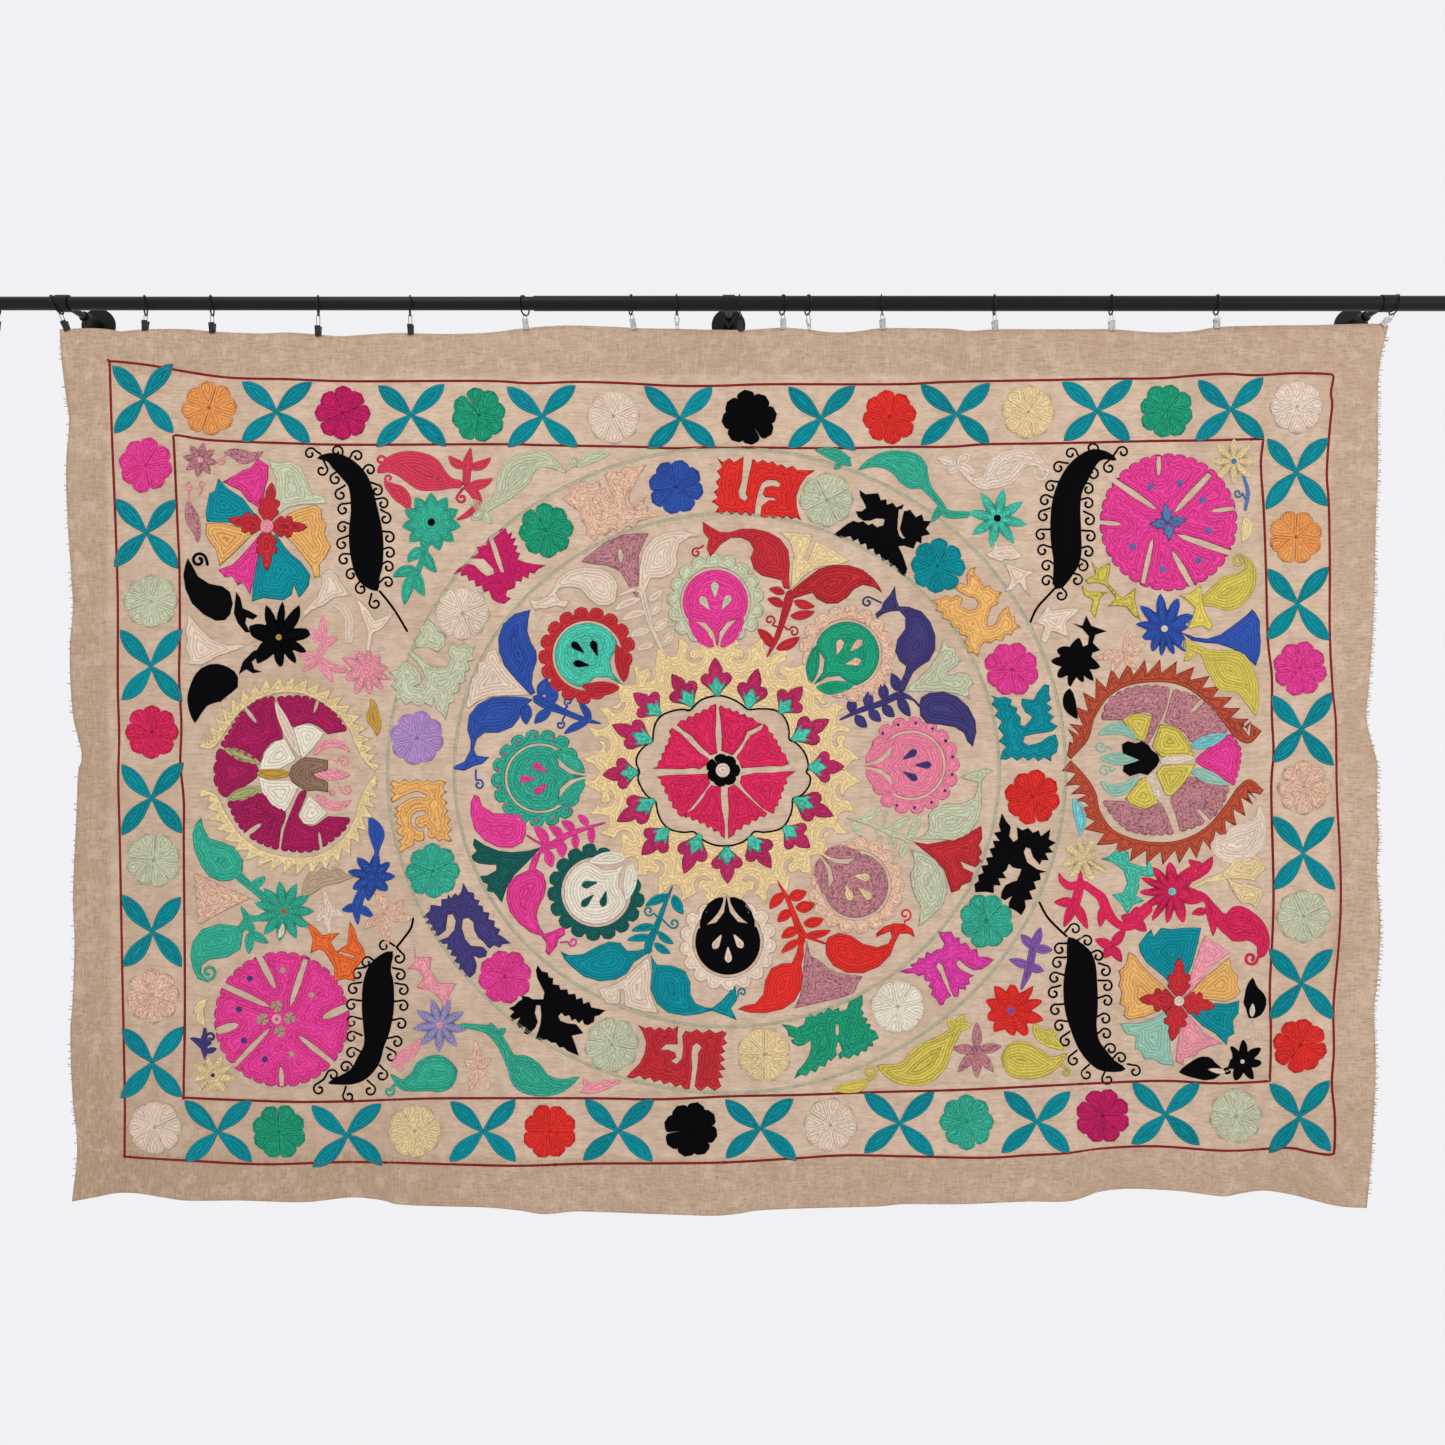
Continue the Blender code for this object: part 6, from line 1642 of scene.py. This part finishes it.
def bottom_left():
    round_flower("pink", 282, 1019, 65,
                 ((257, 952, 276, 989, 3.6), (306, 959, 290, 1007, 3.2), (349, 1006, 322, 1018, 4.2),
                  (333, 1063, 298, 1035, 3), (282, 1086, 281, 1066, 2.6), (234, 1066, 271, 1027, 2.8),
                  (217, 1031, 239, 1024, 4.4), (219, 983, 271, 1007, 3.4)),
                 (("navy", 250, 978), ("navy", 239, 1009), ("navy", 244, 1040), ("navy", 265, 1059),
                  ("sand", 283, 970), ("sand", 312, 995), ("sand", 292, 1054)))
    for x, y in ((277, 1006), (290, 1018), (280, 1031), (263, 1019)):
        rosette("sand", x, y, 6.5, rng.uniform(0, 90), 3, 0.6)
    disc("blush", 277, 1019, 5.5, 0.9)
    disc("navy", 277, 1019, 1.6, 1.3)

    patch("jade", walk(201.5, 817.5, 2, 10.5, 6, 10, 13, 4, 12.5, 5, 8, 13, 0, 10, -4, 6.5, -9, 4,
            -10, 0.5, -10.5, -4.5, -8.5, -11.5, -6.5, -15.5, -2, -15, 3, -10.5))
    ribbon("jade", [(237, 874, 5), (253, 888, 3.5), (272, 903, 5)])
    leaf("jade", 250, 886, 265, 876, 4.5, 0.1)
    star("jade", 284, 911, 31, 18, 11, 0, "brown", 4)
    leaf("cream", 278, 938, 283, 923, 3.0, 0.1, lift=0.6)
    patch("jade", walk(193, 941.5, 9, -12.5, 18, -5.5, 18, 2.5, 5, 8, -2.5, 15, -13, 8, -18, 2.5, -7.5, 5,
            -1, 7.5, 8.5, 10.5, -11.5, -4, -5.5, -11.5, -2, -12.5))
    ribbon("jade", [(238, 932, 4), (245, 924, 4.5), (247, 918, 4), (241, 906, 0.8)])
    curl("jade", 209, 972, 8.5, 160, -1.3, 1.4, stem=(196, 968))
    ribbon("jade", [(246, 918, 4), (258, 918, 3), (270, 915, 3)])
    trefoil("jade", 250, 932, ((249, 954), (269, 943), (252, 922)), 4.6)
    fan("apricot", (252, 898), (201, 924), (196, 873), 6, 3)

    patch("corn", walk(212, 997, -8, 1, -7, 4, -3, 8, 3, 11, 9, 8, -1, -10, -1, -10, 3, -7))
    ribbon("navy", [(205, 1026, 1), (205, 1034, 2.4), (204, 1044, 4), (206, 1062, 0.6)])
    leaf("navy", 206, 1052, 190, 1038, 3.6, 0.15)
    leaf("navy", 206, 1052, 217, 1048, 3.0)
    curl("navy", 211, 1037, 5.5, 90, 1.3, 1.2, stem=(206, 1046))
    flower("corn", 213, 1075, 13, ((207, 1054), (222, 1056), (234, 1064), (236, 1078), (224, 1092),
                                   (208, 1090),
                                  (198, 1093), (192, 1079), (193, 1064)), "navy", 3)

    ribbon("blue", [(369, 816, 0.6), (374, 825, 6), (377, 834, 8), (377, 844, 5), (377, 852, 2),
                    (375, 862, 4)])
    flower("blue", 373, 876, 13, ((357, 857), (347, 871), (352, 889), (368, 902), (388, 891), (396, 876),
                                  (391, 862), (378, 852)))
    ribbon("blue", [(366, 886, 5), (360, 897, 5), (357, 908, 5), (358, 925, 0.8)])
    trefoil("blue", 358, 906, ((342, 910), (374, 917)), 4.4)
    patch("sand", walk(355, 876.5, -15, -5, -10.5, -1.5, -7.5, -2.5, -5, 5, -8, 0, -5, 8, -2.5, 12.5,
            2.5, 5, 10.5, -5, 10, -7.5, 15.5, -2.5))
    leaf("sand", 345, 876, 332, 867, 4)
    trefoil("shell", 328, 908, ((316, 922), (329, 934), (345, 917)), 4)
    ribbon("shell", [(324, 889, 1), (327, 900, 3), (329, 912, 4), (329, 930, 0.8)], lift=0.3)
    for tip in ((375, 890), (404, 899), (414, 917), (389, 945), (364, 929)):
        leaf("apricot", 386, 914, *tip, 5, 0.06)

    patch("orange", walk(305.5, 920, 11.5, 9, 5, 6, 18, -2.5, -9, 9, 5, 10, 11.5, -7.5, 2.5, -23, 5, 8,
            2.5, 10, 6.5, 10, 1.5, 8, -10.5, 12.5, 0, 11.5, -10, -2.5, -10.5, 2.5, 0, -14, -10, -15.5,
            -5, -2.5, -9, 4, 2.5, -14), slits=[slit(339, 952, 356, 957, 1.4)])

    patch("blush", walk(414, 944, 2.5, 13, 15, 0, -1, 12.5, 9, 13, 17.5, 1, -7.5, 11.5, -5, 15.5, -5, -13,
            -10.5, -7.5, -12.5, -2.5, 7.5, -10.5, -6.5, -7.5, -10, -1, 7.5, -6.5))
    star("violet", 440, 1024.5, 28, 13, 9, 12, "blush", 3.8)
    ribbon("jade", [(458.5, 1025, 2), (480, 1027.5, 3), (491.5, 1031, 5), (503, 1045, 5), (510, 1058.5, 6),
                    (519.5, 1066.5, 14), (529.5, 1077, 17), (544.5, 1085, 11.5), (561.5, 1085, 6.6),
                    (580, 1076.5, 0.5)])
    trefoil("jade", 496, 1036, ((490, 1022), (506, 1028)), 4)
    ribbon("jade", [(458, 1070, 5), (446, 1072.5, 17), (429.5, 1074.5, 18), (416, 1081.5, 10.5),
                    (402, 1084, 5), (390.5, 1073.5, 0.5)])
    curl("jade", 389.5, 1091, 5.5, -60, 1.2, 1.1, stem=(399, 1084))
    for tip in ((476, 1040), (464, 1060), (492, 1058), (470, 1090), (490, 1090)):
        leaf("apricot", 478, 1068, *tip, 4.4)
    leaf("blush", 580, 1092, 622, 1080, 5)
    leaf("blush", 590, 1090, 584, 1078, 3.4)
    ribbon("blush", [(392, 1068, 0.6), (398, 1060, 5), (408, 1054, 7), (416, 1046, 4), (422, 1038, 0.6)])
    curl("blush", 400, 1066, 5, 0, 1.2, 0.9)


def bottom_right():
    patch("teal", walk(1139, 944, 7.5, -10, 5, -5, 2.5, 7.5, 7.5, -9, 10.5, 1.5, 12.5, -1.5, 17, 0,
            -3, 14, -3.5, 13, -2.5, 10, -8, 18, -8.5, 10, -11.5, -15.5, -18, -15, -6.5, -10.5))
    patch("blush", walk(1205, 935, 8, 6.5, 6, 2.5, 11.5, 9, -10, 6.5, -13, 12.5, -12.5, 15.5, -11.5, 9,
            9, -27, 6, -18))
    patch("peach", walk(1229.5, 957, 2.5, 12.5, 6.5, 6.5, -1.5, 9, 4, 6.5, -5.5, 6, -10, 4, -12.5, -1.5,
            -18, -1, -11.5, 0, 21.5, -22, 13, -10))
    patch("teal", walk(1215.5, 1003, 12.5, 0.5, 11.5, -3.5, -1, 13, -5.5, 7.5, 1.5, 13, -6.5, 3.5, -1, 8,
            -11.5, -11.5, -13, -8, -10, -10, -11.5, -11.5, 19, 0))
    patch("blush", walk(1181, 1006.5, 11.5, 13, 12.5, 14, 18, 10, -13, 2.5, -10, 4, -5, 6.5, -10.5, 1,
            -1, 8, -7.5, -4, 1, -15.5, 2.5, -12.5, 1.5, -13))
    patch("sage", walk(1174.5, 1006.5, -2.5, 16.5, -1.5, 15.5, 0, 12.5, 4, 14.5, -13, -1.5, -7.5, -5,
            -10, 0, -2.5, -8, -6.5, -2.5, 1, -12.5, -10, -2.5, -6.5, -10.5, 19.5, 0, 15, -5))
    patch("peach", walk(1174.5, 1000, -18, 11.5, -12.5, 5.5, -15.5, 2.5, -5, -4, 2.5, -7.5, -6.5, -5,
            2.5, -10.5, -3.5, -7.5, 2.5, -8, -2.5, -6, 7.5, -6.5, 2.5, -13, 6.5, 3, 6.5, 10, 12.5, 12.5,
            13, 11.5))
    petals_of_four("brick", 1179, 1000.5, ((1179.5, 957), (1215.5, 1006.5), (1172, 1041), (1139, 999)), 12)
    disc("cream", 1179.2, 1000.8, 5.5, 1.2)

    flower("crimson", 1172.4, 891.2, 17, ((1170, 861), (1152, 866), (1140, 877), (1138, 892), (1142, 908),
                                          (1151, 922), (1167, 924), (1184, 924), (1203, 901), (1195, 864)),
           "sky", 4.4)
    ribbon("crimson", [(1187, 880, 4), (1199, 874, 4), (1207, 866, 5), (1213, 856, 0.8)])
    leaf("crimson", 1206, 866, 1189, 859, 4.4, -0.15)
    ribbon("crimson", [(1188, 893, 4), (1202, 896, 4), (1213, 906, 3), (1222, 920, 8), (1236, 923, 18),
                       (1254, 930, 13), (1263, 944, 7), (1260, 958, 3)])
    curl("crimson", 1251, 958, 7, 0, 1.3, 1.4, stem=(1262, 950))
    leaf("crimson", 1206, 900, 1213, 936, 5, -0.08)
    leaf("crimson", 1208, 912, 1192, 914, 4, 0.1)
    ribbon("crimson", [(1152, 904, 6), (1140, 915, 6), (1132, 924, 6), (1120, 925, 4), (1109, 914, 5),
                       (1102, 898, 5), (1094, 891, 4), (1083, 884, 4), (1070, 886, 4), (1062, 880, 3),
                       (1059, 872, 0.6)])
    trefoil("crimson", 1134, 920, ((1121, 916), (1147, 931), (1138, 906)), 5.5)
    leaf("crimson", 1104, 904, 1100, 927, 4.5)
    ribbon("crimson", [(1081, 870, 0.8), (1080, 884, 4), (1077, 898, 5), (1075, 908, 4)])
    trefoil("crimson", 1075, 902, ((1054, 902), (1064, 927), (1088, 929)), 5)
    trefoil("crimson", 1112, 946, ((1095, 939), (1104, 958), (1122, 962), (1126, 928)), 5)

    flower("corn", 1083.6, 857, 11, ((1078, 837), (1094, 840), (1098, 855), (1112, 874), (1093, 882),
                                     (1070, 878), (1061, 866), (1067, 844)))
    patch("turquoise", walk(1100.5, 858.5, 9, -2.5, 9, -9, 7.5, 5, 2.5, -1, 1.5, 11.5, 9, 2.5, 7.5, 2.5,
            1, -9, 4, 6.5, 5, 10, -7.5, 1.5, -9, -1.5, -1, 13, -3, 7.5, 9, 5, -11.5, 4, -6, 10, -5.5, -10,
            -10, -10, 11.5, -2.5, 4, -9, -4, -13, -10, -7.5))
    ribbon("corn", [(1189, 889, 0.8), (1206, 881, 2), (1226, 875, 4), (1236, 870, 5)])
    patch("corn", walk(1222, 875, 10, -13, 8, -7, 10, 4, 7, -5, 5, 8, 5, 7, -7, 5, -4, 7, -12, -2, -12, 0))
    patch("corn", walk(1226, 877, 12, 6, 12, 1, 11, 4, 3, 7, -4, 6, -3, 7, -8, -5, -8, 0, -8, -11))
    ribbon("shell", [(1259, 804, 0.6), (1260, 820, 6), (1252, 834, 15), (1238, 844, 20), (1222, 844, 14),
                     (1214, 836, 4)])

    ribbon("black", [(1253, 977, 0.6), (1252, 988, 6), (1255, 1000, 11.5), (1254, 1010, 9),
                     (1249, 1018, 2)])
    leaf("cream", 1252, 1017, 1253, 1003, 2.8, lift=0.6)
    curl("cream", 1244, 1024, 5, 0, -1.2, 0.8, stem=(1253, 1022))
    curl("cream", 1248, 1035, 4.5, 0, -1.2, 0.8, stem=(1254, 1034))
    curl("cream", 1261, 1035, 4.5, 180, 1.2, 0.8, stem=(1255, 1038))
    ribbon("cream", [(1252, 1018, 0.9), (1255, 1030, 0.9), (1251, 1042, 0.9)])
    flower("black", 1242.6, 1061.3, 11, ((1230, 1045), (1243, 1038), (1262, 1047), (1262, 1064),
                                         (1254, 1080),
                                        (1235, 1081), (1229, 1064)), "cream", 2.8)
    curl("black", 1227, 1070, 3.5, 0, 1.1, 1.2)
    ribbon("black", [(1179, 1072, 0.6), (1190, 1070, 7), (1204, 1068, 12), (1214, 1070, 9),
                     (1222, 1068, 3)])
    leaf("cream", 1226, 1072, 1208, 1069, 2.6, lift=0.6)

    ribbon("lime", [(870, 1080, 2), (858, 1086, 6), (844, 1088, 5), (832, 1089, 0.6)])
    curl("lime", 870, 1072, 7, 90, -1.3, 1.3, stem=(862, 1084))
    ribbon("lime", [(962, 1018, 4), (957, 1029, 5), (947, 1041, 9), (933, 1056, 17.5), (919, 1068, 18),
                    (904, 1073, 12), (890, 1071, 7), (877, 1065, 1)])
    trefoil("lime", 955, 1028, ((965, 1014), (972, 1024), (948, 1018)), 4.4)
    for tip in ((977, 1022), (952, 1048), (1002, 1046), (958, 1072), (994, 1072), (977, 1078)):
        leaf("mauve", 977, 1050, *tip, 5)
    ribbon("lime", [(1001, 1057, 8), (1010, 1058, 16), (1022, 1060, 19), (1040, 1064, 14), (1053, 1063, 7),
                    (1068, 1053, 1)])
    curl("lime", 1066, 1072, 4.5, -90, 1.2, 1.1, stem=(1060, 1064))
    ribbon("lime", [(1034, 1022, 0.6), (1038, 1032, 5), (1046, 1038, 7), (1056, 1044, 5), (1064, 1050, 1)])
    leaf("lime", 1040, 1034, 1060, 1032, 4)
    flower("red", 1011, 1010.5, 20, ((994, 985), (1014.5, 984), (1034, 985), (1043.5, 1000),
                                     (1044.5, 1019.5),
                                     (1025, 1036.5), (1012.5, 1035.5), (994, 1032), (987, 1017),
                                     (985, 1000)),
           "purple", 4)
    for tip in ((1041, 927), (1021, 934), (1053, 950)):
        leaf("purple", 1034, 948, *tip, 4.6)
    ribbon("purple", [(1034, 944, 4), (1031, 960, 4), (1028, 972, 4), (1021, 990, 1)])
    trefoil("purple", 1030, 966, ((1009, 959), (1044, 971)), 4.4)


LOOSE_THREADS = 330
HEM_STITCHES = 129


def edges_of_the_linen():
    """Loose threads along the frayed right side and a few on the left, and the line of hem stitches."""
    for k in range(LOOSE_THREADS):
        below = mix(60.0, 1690.0, (k + rng.random()) / LOOSE_THREADS)
        for side, edge, chance in ((1, right_edge(below), 1.0), (-1, left_edge(below), 0.35)):
            if rng.random() > chance:
                continue
            x, y = edge / SQUARE_MM + ROD_COLUMN, below / SQUARE_MM + ROD_ROW
            reach = rng.uniform(1.5, 4.5) * side
            drop = rng.uniform(-1.0, 1.6)
            ribbon("fray", [(x - 2 * side, y, 0.2), (x + reach * 0.5, y + drop * 0.3, 0.15),
                            (x + reach, y + drop, 0.05)], step=1.6, lift=-1.0)
    at = np.linspace(-1225, 1190, HEM_STITCHES + 1)
    for start, end in zip(at, at[1:]):
        stitch = []
        for x in np.linspace(start, mix(start, end, 0.68), 3):
            stitch.append((x / SQUARE_MM + ROD_COLUMN, (hem_edge(x) - 8.0) / SQUARE_MM + ROD_ROW, 0.3))
        ribbon("fray", stitch, step=3.0, lift=-0.4)


def make_piece(name, bm):
    """A finished piece from a bmesh whose vertices are in place."""
    mesh = bpy.data.meshes.new(name)
    bm.to_mesh(mesh)
    bm.free()
    mesh.shade_smooth()
    thing = bpy.data.objects.new(name, mesh)
    bpy.context.scene.collection.objects.link(thing)
    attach(thing, "root")
    return thing


def lay_embroidery():
    """Turns each spool into a piece on the cloth."""
    pieces = []
    for thread, bm in spools.items():
        mesh = bpy.data.meshes.new("chart")
        bm.to_mesh(mesh)
        chart = np.empty(len(mesh.vertices) * 3)
        mesh.vertices.foreach_get("co", chart)
        mesh.vertices.foreach_set("co", drape(chart.reshape(-1, 3)).ravel())
        bm.clear()
        bm.from_mesh(mesh)
        bpy.data.meshes.remove(mesh)
        bmesh.ops.reverse_faces(bm, faces=bm.faces)
        piece = make_piece("embroidery_" + thread, bm)
        dress(piece, thread_finish(thread))
        pieces.append(piece)
    return pieces


def build_cloth():
    """The linen itself: a fine grid on the hanging surface, made one thread-thickness thick."""
    bm = bmesh.new()
    bmesh.ops.create_grid(bm, x_segments=330, y_segments=130, size=1.0)
    corners = np.array([vert.co for vert in bm.verts])
    across = (corners[:, 0] + 1) / 2
    share = 1 - (1 - (1 - corners[:, 1]) / 2) ** 1.25
    left = left_edge(mix(top_edge(-1271), hem_edge(-1248), share))
    right = right_edge(mix(top_edge(1253), hem_edge(1212), share))
    x = mix(left, right, across)
    below = mix(top_edge(x), hem_edge(x), share)
    chart = np.stack((x / SQUARE_MM + ROD_COLUMN, below / SQUARE_MM + ROD_ROW, np.zeros_like(x)), axis=1)
    for vert, place in zip(bm.verts, drape(chart)):
        vert.co = place
    linen = make_piece("linen_sheet", bm)
    sheet = linen.modifiers.new("thickness", "SOLIDIFY")
    sheet.thickness = CLOTH_THICKNESS_MM * MM
    sheet.offset = 0.0
    dress(linen, linen_finish())
    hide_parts("cloth")
    return linen


def dress_hardware():
    black = paint_finish("black_paint", (11, 11, 12), 0.30)
    wire = paint_finish("black_wire", (10, 10, 11), 0.28)
    steel = steel_finish("clip_steel", (198, 196, 192), 0.95)
    dark = steel_finish("dark_steel", (52, 50, 50), 0.8)
    for name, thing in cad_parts.items():
        if name.startswith("ring"):
            dress(thing, wire)
        elif name.startswith("clip"):
            dress(thing, dark if name in DARK_CLIPS else steel)
        elif name != "cloth":
            dress(thing, black)


DARK_CLIPS = ("clip_01", "clip_02", "clip_03", "clip_04", "clip_05", "clip_06", "clip_10")


def build_stage():
    bm = bmesh.new()
    bmesh.ops.create_circle(bm, cap_ends=True, segments=96, radius=2.6)
    bmesh.ops.translate(bm, verts=bm.verts, vec=(0, -0.2, -3.75))
    mesh = bpy.data.meshes.new("floor")
    bm.to_mesh(mesh)
    bm.free()
    floor = bpy.data.objects.new("floor", mesh)
    bpy.context.scene.collection.objects.link(floor)
    finish = Finish("floor_paper", Roughness=0.9)
    place = finish.place()
    tint = finish.blend(finish.noise(place, 3.0, 3.0) * 0.3, (238, 236, 232), (230, 228, 224))
    finish.feed("Base Color", tint)
    dress(floor, finish.material)

    world = bpy.data.worlds.new("studio")
    world.use_nodes = True
    world.node_tree.nodes["Background"].inputs["Color"].default_value = (0.885, 0.875, 0.905, 1)
    world.node_tree.nodes["Background"].inputs["Strength"].default_value = 1.0
    bpy.context.scene.world = world

    lamps = (
        # name, place, size, watts, colour
        ("window", (-1.2, -2.0, 2.2), 1.2, 24.0, (1.0, 0.97, 0.93)),
        ("reflector", (3.0, -2.0, 0.2), 1.6, 14.0, (1.0, 0.98, 0.96)),
    )
    for name, at, size, watts, colour in lamps:
        light = bpy.data.lights.new(name, "AREA")
        light.shape = "DISK"
        light.size = size
        light.energy = watts
        light.color = colour
        lamp = bpy.data.objects.new(name, light)
        lamp.location = at
        lamp.rotation_euler = (Vector((0, -0.125, -0.9)) - Vector(at)).to_track_quat("-Z", "Y").to_euler()
        bpy.context.scene.collection.objects.link(lamp)


def build_camera():
    data = bpy.data.cameras.new("camera")
    data.sensor_width = 36.0
    data.lens = 28.85
    data.clip_end = 60.0
    camera = bpy.data.objects.new("camera", data)
    camera.location = (CAMERA_X, ROD_AXIS_Y - CAMERA_DISTANCE, CAMERA_Z)
    camera.rotation_euler = (math.pi / 2, 0, 0)
    bpy.context.scene.collection.objects.link(camera)
    bpy.context.scene.camera = camera


def main():
    bpy.context.scene.view_settings.view_transform = "Standard"
    build_camera()
    build_stage()
    linen = build_cloth()
    border()
    great_ring()
    medallion()
    for fruit in POMEGRANATES:
        pomegranate(*fruit)
    inner_sprays()
    peppers()
    top_left()
    top_right()
    left_roundel()
    right_roundel()
    bottom_left()
    bottom_right()
    edges_of_the_linen()
    embroidery = lay_embroidery()
    dress_hardware()


main()
